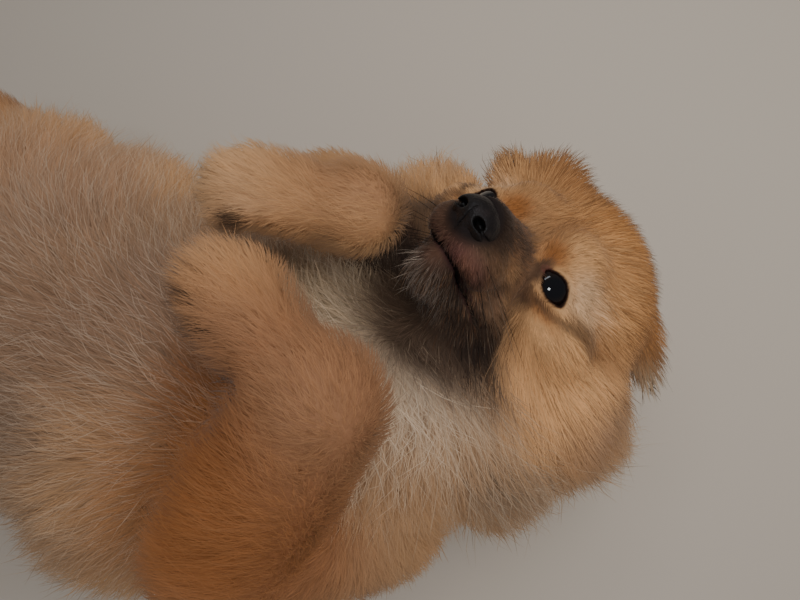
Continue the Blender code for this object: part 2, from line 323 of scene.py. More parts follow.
def skin_head(q, plain=False):
    l = np.abs(q[:, 1])
    m = q.copy()
    m[:, 1] = l
    d = d_ell(q, (-7, 0, 1), (31.5, 36, 33.5))
    d = smin(d, d_ell(q, (6, 0, -4), (25, 27, 22)), 12)
    d = smin(d, d_ell(m, (-5, 26, -17), (24, 21.5, 20)), 14)
    d = smin(d, d_ell(m, (22.5, 11.5, 8.5), (9, 9.5, 8.5)), 11)
    d = smin(d, d_ell(m, (20.5, 24, -8), (9.5, 11, 10)), 13)
    d = smin(d, d_cone(q, (-6, -29, 15.5), (12, -31.5, 13), 10.5, 6), 10)
    d = smin(d, d_ell(q, (6.5, -20.5, 18.2), (11.8, 12.4, 12.4)), 8)
    d = smin(d, d_cone(q, (20, 0, -12), (49, 0, -13.2), 16.0, 9.6), 6)
    d = smin(d, d_cone(q, (24, 0, -5), (53, 0, -9), 8.5, 6.4), 5)
    d = smin(d, d_ell(m, (46.5, 6.0, -15.8), (9.5, 7.4, 7.3)), 3)
    jaw = d_cone(q, (14, 0, -25), (46, 0, -25.2), 12, 6.2)
    jaw = smin(jaw, d_ell(m, (27, 9.5, -23), (14, 8, 8.5)), 5)
    d = smin(d, jaw, 3)
    if plain:
        return d
    # hollows at the inner corners of the eyes and at the stop
    d = smax(d, -d_ell(m, (35.5, 9.0, 1.5), (6, 3.6, 3.6)), 4)
    for side in (1, -1):
        near = smin(d, np.linalg.norm(q - EYE[side], axis=1) - LIDS_R, 4.5)
        ap, x, y, z = aperture(q, side)
        cut = np.maximum(np.maximum(ap, 1.0 - z), 7.25 - np.linalg.norm(q - EYE[side], axis=1))
        # crease above the upper lid
        fold = np.abs(y - 6.3 + 0.055 * x * x) - 0.35
        fold = np.maximum(np.maximum(fold, -(near + 0.9)), np.maximum(np.abs(x) - 6.5, 1.0 - z))
        near = smax(near, -fold, 0.9)
        d = smax(near, -cut, 0.7)
    # the closed mouth, lips rolled in along its line
    mm = mouth_line(q)
    wide = 0.26 + 0.5 * np.clip((46 - q[:, 0]) / 18, 0, 1)
    groove = np.maximum(np.abs(mm) - wide, -(d + 2.6))
    groove = np.maximum(groove, 25.5 - q[:, 0])
    d = smax(d, -groove, 1.3)
    phil = np.maximum(np.abs(q[:, 1]) - 0.3, -(d + 1.0))
    phil = np.maximum(phil, np.maximum(q[:, 2] + 14.5, -21.4 - q[:, 2]))
    phil = np.maximum(phil, 48 - q[:, 0])
    d = smax(d, -phil, 1.0)
    # the muzzle's end makes room for the nose leather
    d = smax(d, -d_ell(q, (58.3, 0, -9.6), (5.0, 6.2, 4.4)), 1.2)
    return d


def skin(P):
    d = skin_trunk(P)
    d = smin(d, skin_neck(P), 18)
    for name in LIMBS:
        d = smin(d, skin_limb(P, name), 12 if name.startswith("hind") else 8)
    d = smin(d, skin_tail(P), 8)
    q = head_local(P)
    head = skin_head(q)
    for side in (1, -1):
        head = smin(head, skin_ear(q, side), 5 if side > 0 else 2)
    d = smin(d, head, 12)
    return smax(d, FLOOR + 3.2 - P[:, 2], 5)


OUT = (
    [("ell", c, r) for c, r in (
        ((-38, -4, 51.5), (54, 62, 51.5)), ((-82, -6, 52.5), (60, 68, 52.5)),
        ((-95, -22, 53.5), (50, 64, 48.5)), ((-130, -1, 51.5), (55, 72, 51.5)),
        ((-168, 8, 47.5), (46, 71, 47.5)),
        ((10, -2, 42), (33, 34, 39)), ((31, 15, 40), (34, 34, 38)), ((-22, 63, 32), (34, 40, 33)))]
    + [("cone", (-22, 4, 50), (10, 32, 46), 47, 44), ("cone", (-52, -6, 97), (-60, -34, 94), 11.5, 12)]
)
OUT_HEAD = [
    ("ell", (-6, -1, 0), (37, 42, 39)), ("ell", (-6, 34, -20), (28, 27, 24)),
    ("ell", (-6, -33, -18.5), (28, 25, 25.5)), ("ell", (8, -22, 21), (15, 15, 15.5)), ("cone", (20, 0, -11), (48, 0, -13), 19.5, 11),
    ("cone", (14, 0, -24), (42, 0, -24), 15, 7.5), ("ell", (45.5, -2.5, -29.5), (8.5, 10.5, 7.5)),
    ("cone", (-9, 24, 20.5), (-22, 42, 13.5), 11, 7.5), ("cone", (-4, -29, 18.5), (14, -33, 15), 13.5, 8.5),
]


def outline(P, soft=1.0):
    """Distance to the coat's tips."""
    d = None
    q = head_local(P)
    for rows, X in ((OUT, P), (OUT_HEAD, q)):
        for row in rows:
            v = d_cone(X, *row[1:]) if row[0] == "cone" else d_ell(X, row[1], row[2])
            d = v if d is None else smin(d, v, 6 * soft)
    for limb in LIMBS.values():
        p, r = limb["pts"], limb["out"]
        for i in range(3):
            d = smin(d, d_cone(P, p[i], p[i + 1], r[i], r[i + 1]), 4 * soft)
    d = smin(d, d_cone(P, (-196, 6, 24), (-240, 0, 18), 17, 17), 4 * soft)
    return smin(d, d_cone(P, (-240, 0, 18), (-284, -12, 14), 17, 9), 4 * soft)


def coat_normals(P, N, room):
    """Which way the coat's own surface faces: that of the skin where hair is short, of the tips where it is long."""
    d = outline(P, 2.4)
    G = np.empty_like(P)
    for ax in range(3):
        e = np.zeros(3)
        e[ax] = 1.0
        G[:, ax] = outline(P + e, 2.4) - d
    w = 0.8 * ramp(room, 1.5, 7.5)
    return unit(mix(unit(N), unit(G), w))


# ------------------------------------------------------------------ meshes from fields
def axis(rows, scale=1.0):
    """Grid lines whose spacing follows a table of (place, spacing)."""
    x = np.array([r[0] for r in rows], float)
    h = np.array([r[1] for r in rows], float) * scale
    out = [x[0]]
    while out[-1] < x[-1]:
        out.append(out[-1] + np.interp(out[-1], x, h))
    return np.array(out)


def grid_mesh(field, X, Y, Z, step=4):
    """Surface nets over a grid of uneven spacing, looked at closely only near the surface."""
    def pad(A):
        n = (-(len(A) - 1)) % step
        return np.concatenate([A, A[-1] + (A[-1] - A[-2]) * np.arange(1, n + 1)])

    X, Y, Z = pad(X), pad(Y), pad(Z)
    xc, yc, zc = X[::step], Y[::step], Z[::step]
    G = np.stack(np.meshgrid(xc, yc, zc, indexing="ij"), -1).reshape(-1, 3)
    c = np.concatenate([field(g) for g in np.array_split(G, max(1, len(G) // 60000))])
    c = c.reshape(len(xc), len(yc), len(zc))
    diag = np.sqrt(np.diff(xc)[:, None, None] ** 2 + np.diff(yc)[None, :, None] ** 2 + np.diff(zc)[None, None, :] ** 2)
    low = np.full(diag.shape, 1e9)
    for i in (0, 1):
        for j in (0, 1):
            for k in (0, 1):
                low = np.minimum(low, np.abs(c[i:i + diag.shape[0], j:j + diag.shape[1], k:k + diag.shape[2]]))
    near = low < diag * 0.75
    s = np.repeat(np.repeat(np.repeat(c[:-1, :-1, :-1], step, 0), step, 1), step, 2).astype(np.float32)
    s = np.pad(s, ((0, 1), (0, 1), (0, 1)), mode="edge")
    mask = np.zeros(s.shape, bool)
    m = np.repeat(np.repeat(np.repeat(near, step, 0), step, 1), step, 2)
    for i in (0, 1):
        for j in (0, 1):
            for k in (0, 1):
                mask[i:i + m.shape[0], j:j + m.shape[1], k:k + m.shape[2]] |= m
    I = np.argwhere(mask)
    vals = np.empty(len(I), np.float32)
    for part in np.array_split(np.arange(len(I)), max(1, len(I) // 60000)):
        J = I[part]
        vals[part] = field(np.stack([X[J[:, 0]], Y[J[:, 1]], Z[J[:, 2]]], 1))
    s[mask] = vals
    ins = s < 0
    nx, ny, nz = s.shape
    cnt = np.zeros((nx - 1, ny - 1, nz - 1), np.int8)
    cs = [(i, j, k) for i in (0, 1) for j in (0, 1) for k in (0, 1)]
    for i, j, k in cs:
        cnt += ins[i:nx - 1 + i, j:ny - 1 + j, k:nz - 1 + k]
    act = (cnt > 0) & (cnt < 8)
    I = np.argwhere(act)
    idx = np.full(act.shape, -1, np.int32)
    idx[act] = np.arange(len(I))
    pos = np.zeros((len(I), 3))
    n = np.zeros(len(I))
    for a in cs:
        for d in range(3):
            if a[d] == 1:
                continue
            b = list(a)
            b[d] = 1
            sa = s[I[:, 0] + a[0], I[:, 1] + a[1], I[:, 2] + a[2]]
            sb = s[I[:, 0] + b[0], I[:, 1] + b[1], I[:, 2] + b[2]]
            cross = (sa < 0) != (sb < 0)
            t = np.where(cross, sa / np.where(cross, sa - sb, 1), 0)
            p = np.array(a, float)[None] + t[:, None] * (np.array(b) - np.array(a))[None]
            pos += np.where(cross[:, None], p, 0)
            n += cross
    pos /= n[:, None]
    V = np.empty_like(pos)
    for d, A in enumerate((X, Y, Z)):
        V[:, d] = A[I[:, d]] + pos[:, d] * (A[I[:, d] + 1] - A[I[:, d]])
    Fs = []
    for d in range(3):
        e, g = (d + 1) % 3, (d + 2) % 3
        s1, s2 = [slice(None)] * 3, [slice(None)] * 3
        s1[d], s2[d] = slice(0, -1), slice(1, None)
        A, B = ins[tuple(s1)], ins[tuple(s2)]
        ch = np.argwhere(A != B)
        ok = (ch[:, e] > 0) & (ch[:, g] > 0) & (ch[:, e] < s.shape[e] - 1) & (ch[:, g] < s.shape[g] - 1)
        ch = ch[ok]
        ue, ug = np.zeros(3, int), np.zeros(3, int)
        ue[e], ug[g] = 1, 1
        q = np.stack([idx[w[:, 0], w[:, 1], w[:, 2]] for w in (ch - ue - ug, ch - ug, ch, ch - ue)], 1)
        flip = ~A[ch[:, 0], ch[:, 1], ch[:, 2]]
        q[flip] = q[flip][:, ::-1]
        Fs.append(q)
    return V, np.concatenate(Fs)


def smooth_mesh(V, Fq, times, fixed=None, amount=0.5):
    a = np.concatenate([Fq[:, i] for i in range(4)])
    b = np.concatenate([Fq[:, (i + 1) % 4] for i in range(4)])
    cnt = np.bincount(a, minlength=len(V)) + np.bincount(b, minlength=len(V))
    for _ in range(times):
        S = np.zeros_like(V)
        for d in range(3):
            S[:, d] = np.bincount(a, V[b, d], len(V)) + np.bincount(b, V[a, d], len(V))
        W = amount if fixed is None else (amount * (1 - fixed))[:, None]
        V = V + (S / np.maximum(cnt, 1)[:, None] - V) * W
    return V


def vertex_normals(V, Fq):
    T = np.concatenate([Fq[:, [0, 1, 2]], Fq[:, [0, 2, 3]]]) if Fq.shape[1] == 4 else Fq
    n = np.cross(V[T[:, 1]] - V[T[:, 0]], V[T[:, 2]] - V[T[:, 0]])
    N = np.zeros_like(V)
    for i in range(3):
        for d in range(3):
            N[:, d] += np.bincount(T[:, i], n[:, d], len(V))
    return unit(N)


def add_mesh(name, V, loops, counts, material, colours=None, uvs=None, smooth=True):
    """V in millimetres; loops and counts as flat arrays; colours per vertex; uvs per loop."""
    me = bpy.data.meshes.new(name)
    me.vertices.add(len(V))
    me.vertices.foreach_set("co", to_model(V).astype(np.float32).ravel())
    me.loops.add(len(loops))
    me.loops.foreach_set("vertex_index", loops.astype(np.int32))
    me.polygons.add(len(counts))
    starts = np.concatenate([[0], np.cumsum(counts)[:-1]])
    me.polygons.foreach_set("loop_start", starts.astype(np.int32))
    me.polygons.foreach_set("use_smooth", np.full(len(counts), smooth))
    me.update(calc_edges=True)
    if colours is not None:
        at = me.color_attributes.new("Coat", "FLOAT_COLOR", "POINT")
        rgba = np.concatenate([np.clip(colours, 0, 1), np.ones((len(V), 1))], 1)
        at.data.foreach_set("color", rgba.astype(np.float32).ravel())
    if uvs is not None:
        uv = me.uv_layers.new(name="OFBake")
        uv.data.foreach_set("uv", uvs.astype(np.float32).ravel())
    me.materials.append(material)
    o = bpy.data.objects.new(name, me)
    bpy.context.scene.collection.objects.link(o)
    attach(o, "root")
    return o


# ------------------------------------------------------------------ materials
def new_material(name, rough=0.7, spec=0.3):
    m = bpy.data.materials.new(name)
    m.use_nodes = True
    nt = m.node_tree
    b = nt.nodes["Principled BSDF"]
    b.inputs["Roughness"].default_value = rough
    b.inputs["Specular IOR Level"].default_value = spec
    return m, nt, b


def node(nt, kind, **kw):
    n = nt.nodes.new(kind)
    for k, v in kw.items():
        setattr(n, k, v)
    return n


def attribute_colour(nt, b, noise_scale=None, amount=0.12):
    at = node(nt, "ShaderNodeAttribute", attribute_name="Coat")
    out = at.outputs["Color"]
    if noise_scale:
        tex = node(nt, "ShaderNodeTexNoise")
        tex.inputs["Scale"].default_value = noise_scale
        tex.inputs["Detail"].default_value = 3
        ramp = node(nt, "ShaderNodeMapRange")
        ramp.inputs["To Min"].default_value = 1 - amount
        ramp.inputs["To Max"].default_value = 1 + amount
        co = node(nt, "ShaderNodeTexCoord")
        nt.links.new(co.outputs["Object"], tex.inputs["Vector"])
        nt.links.new(tex.outputs["Fac"], ramp.inputs["Value"])
        mul = node(nt, "ShaderNodeVectorMath", operation="SCALE")
        nt.links.new(out, mul.inputs[0])
        nt.links.new(ramp.outputs["Result"], mul.inputs["Scale"])
        out = mul.outputs["Vector"]
    nt.links.new(out, b.inputs["Base Color"])
    return out


def bump(nt, b, scale, strength, distance=0.0004, kind="noise", detail=4):
    co = node(nt, "ShaderNodeTexCoord")
    if kind == "noise":
        tex = node(nt, "ShaderNodeTexNoise")
        tex.inputs["Detail"].default_value = detail
        h = tex.outputs["Fac"]
    else:
        tex = node(nt, "ShaderNodeTexVoronoi")
        h = tex.outputs["Distance"]
    tex.inputs["Scale"].default_value = scale
    bp = node(nt, "ShaderNodeBump")
    bp.inputs["Strength"].default_value = strength
    bp.inputs["Distance"].default_value = distance
    nt.links.new(co.outputs["Object"], tex.inputs["Vector"])
    nt.links.new(h, bp.inputs["Height"])
    nt.links.new(bp.outputs["Normal"], b.inputs["Normal"])


def fur_material(name, rough=0.62):
    m, nt, b = new_material(name, rough, 0.22)
    attribute_colour(nt, b, 900.0, 0.10)
    b.inputs["Sheen Weight"].default_value = 0.12
    b.inputs["Sheen Roughness"].default_value = 0.45
    return m


FUR = fur_material("coat_hair")
SKIN, nt, b = new_material("skin_under_coat", 0.75, 0.25)
attribute_colour(nt, b, 500.0, 0.18)
bump(nt, b, 1400.0, 0.6, 0.0003)
LEATHER, nt, b = new_material("nose_leather", 0.47, 0.45)
attribute_colour(nt, b, 700.0, 0.15)
bump(nt, b, 1500.0, 0.45, 0.00025, "voronoi")
CLAW, nt, b = new_material("claw_horn", 0.35, 0.5)
attribute_colour(nt, b, 1200.0, 0.2)
bump(nt, b, 2500.0, 0.2, 0.0001)
EYEBALL, nt, b = new_material("eye_wet", 0.04, 0.35)
attribute_colour(nt, b, 2500.0, 0.12)
b.inputs["Coat Weight"].default_value = 0.6
b.inputs["Coat Roughness"].default_value = 0.02
WHISKER, nt, b = new_material("whisker_hair", 0.45, 0.3)
attribute_colour(nt, b, 900.0, 0.05)


# ------------------------------------------------------------------ markings
def ramp(x, a, b):
    t = np.clip((x - a) / (b - a), 0, 1)
    return t * t * (3 - 2 * t)


def wobble(P, size, seed):
    """Smooth waves that never repeat, about -1 to 1."""
    r = np.random.default_rng(seed)
    out = 0
    for _ in range(7):
        k = unit(r.normal(size=3)) * (2 * math.pi / (size * r.uniform(0.7, 1.5)))
        out = out + np.sin(P @ k + r.uniform(0, 6.283))
    return out / 3.2


def blob(P, c, r, soft=0.5):
    d = np.sqrt((((P - np.asarray(c, float)) / np.asarray(r, float)) ** 2).sum(-1))
    return 1 - ramp(d, 1 - soft, 1 + soft)


def mix(a, b, t):
    return a + (b - a) * np.asarray(t)[..., None]


# Each patch: centre and radii in head axes (along the muzzle, to its left, up), a colour,
# how strong it is, how soft its edge is, and whether both sides have it.
FACE = [
    ((-14, 0, 24), (38, 48, 27), "gold", 0.95, 0.5, False),
    ((8, 40, -20), (26, 24, 24), "cheek", 0.95, 0.5, True),
    ((18, 18, 16), (14, 14, 12), "tan", 0.5, 0.6, True),
    ((28, 26, -15), (11, 10, 10), "cheek", 0.9, 0.5, True),
    ((24, 25, 5), (9, 8, 7), "pale", 0.85, 0.5, True),
    ((29, -10, 10), (9, 12, 9), "stop", 0.5, 0.9, False),
    ((31, 3, 10), (9, 5, 12), "stop", 0.55, 0.8, False),
    ((37, 0, 4), (7, 8, 8), "mask_mid", 0.45, 0.8, False),
    ((33.5, 10.0, 4.0), (5, 5, 4.5), "orange", 0.85, 0.6, True),
    ((29, 21, -7.5), (5, 7, 2.4), "orange", 0.7, 0.6, True),
    # painted shade: a dark line from the eye's outer corner down the cheek
    ((19, 30, -1.5), (9, 6, 2.4), "sable", 0.6, 0.7, True),
    ((14, 36, 3), (9, 7, 5), "stop", 0.65, 0.7, True),
    ((3, 52, -5), (10, 8, 14), "smoke", 0.75, 0.5, True),
    ((-14, 60, -16), (15, 10, 14), "smoke", 0.5, 0.6, True),
    ((-12, 39, 17), (16, 12, 10), "dusk", 0.35, 0.6, False),
    ((-24, 43, 11), (11, 11, 11), "chest", 0.75, 0.7, False),
    ((10, -22, 28), (14, 14, 9), "stop", 0.6, 0.7, False),
    # painted shade: the near cheek darkens towards its lower outer edge
    ((-6, 55, -12), (19, 13, 20), "dusk", 0.75, 0.8, False),
    ((-13, 39, 19), (4.5, 5, 5), "sable", 0.6, 0.7, False),
    ((-8, 50, -2), (15, 12, 13), "smoke", 0.55, 0.7, False),
    ((0, 59, -14), (13, 9, 14), "smoke", 0.6, 0.6, True),
    ((6, 56, -24), (16, 12, 14), "dusk", 0.75, 0.7, True),
    ((24, -31, -19), (13, 12, 10), "mask_mid", 0.85, 0.5, False),
    ((17, -42, 17), (5, 5, 6), "sable", 0.6, 0.6, False),
    ((10, 52, -7), (10, 8, 10), "dusk", 0.75, 0.6, True),
    ((-6, 60, -27), (13, 9, 13), "smoke", 0.65, 0.7, True),
    ((16, -18, 26), (14, 16, 10), "stop", 0.45, 0.8, False),
    ((3.5, 47.5, 0.5), (6.5, 5, 7.5), "smoke", 0.85, 0.5, True),
]
# Painted shade along thin creases in the coat: under the lower lid and down the cheek, and one branching above it.
CREASE_SHADE = [
    (((33, 19, -7.5), (31.5, 22.5, -7), (30, 26, -6), (28.5, 29, -4.5), (24, 33, -2), (18, 36.5, 0.5)), 0.62),
    (((28.5, 28, -4), (26.5, 29.5, -1.5), (21, 30.5, 1.5), (15, 31, 5.5)), 0.42),
]


# The cheek's far edge, from the ear's root down, where the hair tips turn grey-brown.
RIM = ((1, 44, 6), (3, 46, 3), (5.5, 49, -2), (5, 54, -6), (-1, 58, -7), (-5, 61, -8), (-10, 63, -9))


def track(P, pts):
    """Distance to a line through the points."""
    d = np.full(len(P), 1e9)
    for a, b in zip(pts, pts[1:]):
        a, ba = np.array(a, float), np.array(b, float) - a
        h = np.clip(((P - a) @ ba) / (ba @ ba), 0, 1)
        d = np.minimum(d, np.linalg.norm(P - a - h[:, None] * ba, axis=1))
    return d


def face_colour(q, m):
    """Ground colour of the head: peach cheeks, golden crown, dark mask."""
    head = np.broadcast_to(PAL["tan"], q.shape)
    for c, r, name, s, soft, both in FACE:
        head = mix(head, PAL[name], s * blob(m if both else q, c, r, soft))
    for pts, s in CREASE_SHADE:
        head = mix(head, PAL["mask_dark"], s * (1 - ramp(track(m, pts), 0.5, 2.2)))
    # the mask starts in front of the eyes and reaches down over the jaw and throat
    edge = 28.5 + 2.6 * wobble(q, 9, 31) + 1.0 * np.clip(q[:, 2] + 2, 0, 12) + 0.10 * (m[:, 1] - 10) ** 2 * (q[:, 2] > -6) * (m[:, 1] > 10)
    mask = ramp(q[:, 0], edge, edge + 6.5)
    head = mix(head, PAL["mask_mid"], 0.92 * mask)
    head = mix(head, PAL["tan"], 0.42 * blob(m, (43, 12.5, -9.5), (6.5, 4, 4), 0.6))
    head = mix(head, PAL["mask_dark"], 0.9 * blob(q, (52, 0, -8), (11, 13, 10), 0.5))
    head = mix(head, PAL["mask_dark"], 0.55 * blob(q, (40, 1, -2), (9, 8, 7), 0.6))
    head = mix(head, PAL["near_black_brown"], 0.6 * blob(q, (54, 0, -8), (7, 10, 8), 0.5))
    head = mix(head, PAL["mask_dark"], 0.4 * blob(q, (40, 0, -21.5), (21, 24, 4.5), 0.6) * mask)
    head = mix(head, PAL["cream_grey"], 0.66 * blob(m, (36.5, 15, -18), (7.5, 6, 4), 0.7))
    # under the jaw the coat is painted near-black: partly its own dark colour, partly painted shade
    throat = blob(q, (30, 0, -37), (27, 23, 14), 0.3)
    head = mix(head, PAL["mask_dark"], 0.97 * throat)
    head = mix(head, PAL["mask_dark"], 0.9 * blob(m, (29, 20, -27), (8, 6, 6), 0.5))
    head = mix(head, PAL["near_black_brown"], 0.92 * blob(m, (28.5, 18.5, -27.5), (8.5, 6, 5), 0.6))
    head = mix(head, PAL["near_black_brown"], 0.25 * blob(m, (36, 12, -21), (9, 5, 2.6), 0.7))
    head = mix(head, PAL["mask_mid"], 0.5 * blob(m, (42, 12, -17), (8, 6, 5), 0.6))
    head = mix(head, PAL["lips"], 0.8 * blob(m, (51, 5, -19), (7, 8, 4.2), 0.6))
    head = mix(head, PAL["lips"], 0.85 * blob(q, (49, 1, -25), (8, 8, 3.6), 0.6))
    head = mix(head, PAL["chin"], 0.85 * blob(q, (45, -4, -31), (9, 11, 4.2), 0.6))
    # mottled tan and near-black brown over the mask, and a dark line along the lips to the corner of the mouth
    patchy = wobble(q, 8, 41)
    side_face = mask * (1 - blob(q, (54, 0, -10), (12, 13, 10), 0.4))
    head = mix(head, PAL["fawn"], 0.42 * side_face * np.clip(patchy, 0, 1))
    head = mix(head, PAL["near_black_brown"], 0.45 * side_face * np.clip(-patchy, 0, 1))
    line = (1 - ramp(np.abs(mouth_line(q)), 0.7, 2.8)) * ramp(q[:, 0], 14, 20) * (1 - ramp(q[:, 0], 50, 55))
    head = mix(head, PAL["near_black_brown"], 0.85 * line)
    return head


THROAT_AT = np.array((-19.0, 29.0, 79.5))


def throat_zone(P):
    """Where the throat lies, between the jaw and the chest's pale frill; markings paint it dark, partly as painted
    shade under the jaw.
    """
    return blob(P, (-10, 32, 85), (22, 21, 23), 0.25)


def eye_edge(q):
    """Distance outside the nearest lid opening, along the face."""
    out = np.full(len(q), 99.0)
    for side in (1, -1):
        ap, x, y, z = aperture(q, side)
        out = np.where(z > 0, np.minimum(out, ap / 0.75), out)
    return out


BODY = [
    ((-150, 46, 84), (34, 34, 26), "groin", 0.55, 0.6),
    ((-80, -40, 98), (24, 28, 22), "tan", 0.45, 0.6),
    ((-60, -48, 98), (23, 30, 26), "orange", 0.8, 0.6),
    ((-36, 29, 94), (22, 22, 20), "chest", 0.8, 0.6),
    ((-98, 2, 102), (44, 26, 20), "dusk", 0.75, 0.7),
    ((-58, -20, 100), (13, 20, 14), "rust", 0.6, 0.6),
    ((-61, -8, 95), (13, 13, 9), "rust", 0.6, 0.6),
    ((-15, 4, 90), (22, 18, 24), "frill", 0.85, 0.6),
    ((-6, -28, 88), (26, 22, 22), "shoulder", 0.75, 0.6),
    ((4, -10, 80), (22, 18, 24), "shoulder", 0.75, 0.6),
    ((18, -10, 72), (14, 13, 18), "grey", 0.6, 0.7),
    ((36, -8, 46), (18, 14, 24), "grey", 0.3, 0.6),
]


def markings(P, group, limb_t):
    """Colour of the coat at a place on the skin; group and limb_t come from where()."""
    q = head_local(P)
    n1, n2 = wobble(P, 34, 3), wobble(P, 13, 4)
    top = ramp(P[:, 2] + 6 * n1, 58, 84)
    base = mix(mix(np.broadcast_to(PAL["back"], P.shape), PAL["tan"], ramp(P[:, 2] + 5 * n1, 22, 46)), PAL["cream_grey"], top)
    base = mix(base, PAL["tan"], np.clip(0.16 + 0.22 * n1, 0, 1))
    base = mix(base, PAL["grey"], np.clip(0.10 + 0.12 * n2, 0, 0.5))
    for c, r, name, s, soft in BODY:
        base = mix(base, PAL[name], s * blob(P, c, r, soft))
    limb = mix(np.broadcast_to(PAL["fawn"], P.shape), PAL["tan"], np.clip(0.5 + 0.3 * n1, 0, 1))
    limb = mix(limb, PAL["orange"], np.clip(0.16 + 0.2 * n1, 0, 1) * ramp(limb_t, 2.4, 0.6) * (1 - 0.7 * group["fore_right"]))
    limb = mix(limb, PAL["tan"], 0.35 * np.clip(group["fore_right"], 0, 1))
    fl = np.clip(group["fore_left"], 0, 1)
    limb = mix(limb, PAL["fawn"], 0.85 * fl)
    limb = mix(limb, PAL["orange"], 0.80 * fl * blob(P, (-44, -34, 106), (24, 24, 26), 0.6))
    limb = mix(limb, PAL["rust"], 0.75 * fl * blob(P, (-46, -18, 112), (9, 17, 17), 0.7))
    limb = mix(limb, PAL["cream"], 0.35 * ramp(limb_t, 2.5, 2.95) * (1 - fl))
    limb = mix(limb, PAL["tan"], 0.45 * fl * blob(P, (-62, 24, 122), (15, 12, 16), 0.7))
    w = (group["fore_right"] + group["hind_left"] + group["hind_right"]) * ramp(limb_t, 0.25, 0.9) + fl * ramp(limb_t, 0.05, 0.6)
    base = mix(base, limb, np.clip(w, 0, 1) * 0.9)
    fore = np.clip(group["fore_left"] + group["fore_right"], 0, 1)
    # dark marks between the forepaws' toes and along a fold of the right paw: painted shade
    for c, r, s in (((-66, 35, 116), (3.4, 3.4, 5), 0.9), ((-61, 33, 112), (7, 3, 6), 0.6), ((-66, 12, 128), (2.6, 2.4, 8), 0.8),
                    ((-62, 4, 124), (3.2, 3.4, 8), 0.85), ((-70, 19, 124), (2.6, 2.2, 8), 0.5)):
        base = mix(base, PAL["near_black_brown"] * 1.6, s * fore * blob(P, c, r, 0.6))
    tail = mix(np.broadcast_to(PAL["gold"], P.shape), PAL["cream"], ramp(P[:, 0], -225, -270))
    base = mix(base, tail, group["tail"])
    m = q.copy()
    m[:, 1] = np.abs(q[:, 1])
    head = face_colour(q, m)
    base = mix(base, head, np.clip(group["head"] + group["ear_left"] + group["ear_right"], 0, 1))
    # painted shade where the folded right ear lies on the coat: a darker ring along its edge; the ear itself is paler
    ear_edge_shade = (1 - ramp(np.abs(skin_ear(q, -1) - 1.8), 0.8, 2.4)) * group["head"]
    base = mix(base, PAL["sable"], 0.55 * np.clip(ear_edge_shade, 0, 1))
    base = mix(base, PAL["dusk"], 0.45 * np.clip(group["ear_right"], 0, 1))
    flank = np.clip(group["head"], 0, 1) * ramp(q[:, 2], -25, -20.5) * ramp(q[:, 0], 29, 34)
    # the throat painted dark: partly its own dark coat, partly painted shade under the jaw
    base = mix(base, PAL["mask_dark"], 0.95 * throat_zone(P) * (1 - 0.6 * sum(group[g] for g in LIMBS)) * (1 - 0.85 * flank))
    # the end of the right foreleg by the muzzle painted dark: painted shade from the muzzle and whiskers over it
    base = mix(base, PAL["mask_mid"] * 0.8, 0.85 * blob(P, (-19, 52, 96), (11, 9, 20), 0.5))
    # near-black patches between the jaw, the throat and the right foreleg: painted shade in the hollows there
    base = mix(base, PAL["mask_dark"], 0.9 * blob(P, (-26, 61, 67), (9, 10, 12), 0.8))
    base = mix(base, PAL["near_black_brown"], 0.75 * blob(P, (2, 26, 80), (6, 6, 7), 0.6))
    base = mix(base, PAL["mask_dark"], 0.97 * blob(P, (-31, 44, 78), (11, 12, 16), 0.4))
    return mix(base, PAL["near_black_brown"], 0.7 * blob(P, (-28, 44, 76), (9, 12, 14), 0.5))


GROUPS = ["trunk", "neck", "head", "ear_left", "ear_right"] + list(LIMBS) + ["tail"]


def where(P):
    """Soft membership of each body part, the nearest one, and how far down the limb (0 to 3)."""
    q = head_local(P)
    D = {"trunk": skin_trunk(P), "neck": skin_neck(P), "head": skin_head(q, True),
         "ear_left": skin_ear(q, 1), "ear_right": skin_ear(q, -1), "tail": skin_tail(P)}
    t = np.zeros(len(P))
    best = np.full(len(P), 1e9)
    along = np.zeros((len(P), 3))
    for name, limb in LIMBS.items():
        p = limb["pts"]
        D[name] = skin_limb(P, name)
        dd = []
        for i in range(3):
            ba = p[i + 1] - p[i]
            raw = ((P - p[i]) @ ba) / (ba @ ba)
            h = np.clip(raw, 0, 1)
            gap = np.linalg.norm(P - p[i] - h[:, None] * ba, axis=1) - (limb["out"][i] + (limb["out"][i + 1] - limb["out"][i]) * h)
            dd.append((gap, h))
        G = np.stack([x[0] for x in dd], 1)
        W = np.exp(-np.clip(G - G.min(1, keepdims=True), 0, 60) / 3.0)
        W /= W.sum(1, keepdims=True)
        H = np.stack([x[1] for x in dd], 1)
        tt = (W * (H + np.arange(3))).sum(1)
        dirs = unit(np.array(limb["lie"])) if "lie" in limb else np.stack([unit(p[i + 1] - p[i]) for i in range(3)])
        al = unit(W @ dirs)
        mine = G.min(1)
        use = mine < best
        best = np.where(use, mine, best)
        t = np.where(use, tt, t)
        along = np.where(use[:, None], al, along)
    M = np.stack([D[g] for g in GROUPS], 1)
    W = np.exp(-np.clip(M - M.min(1, keepdims=True), 0, 80) / 3.0)
    W /= W.sum(1, keepdims=True)
    return {g: W[:, i] for i, g in enumerate(GROUPS)}, M.argmin(1), t, along, q


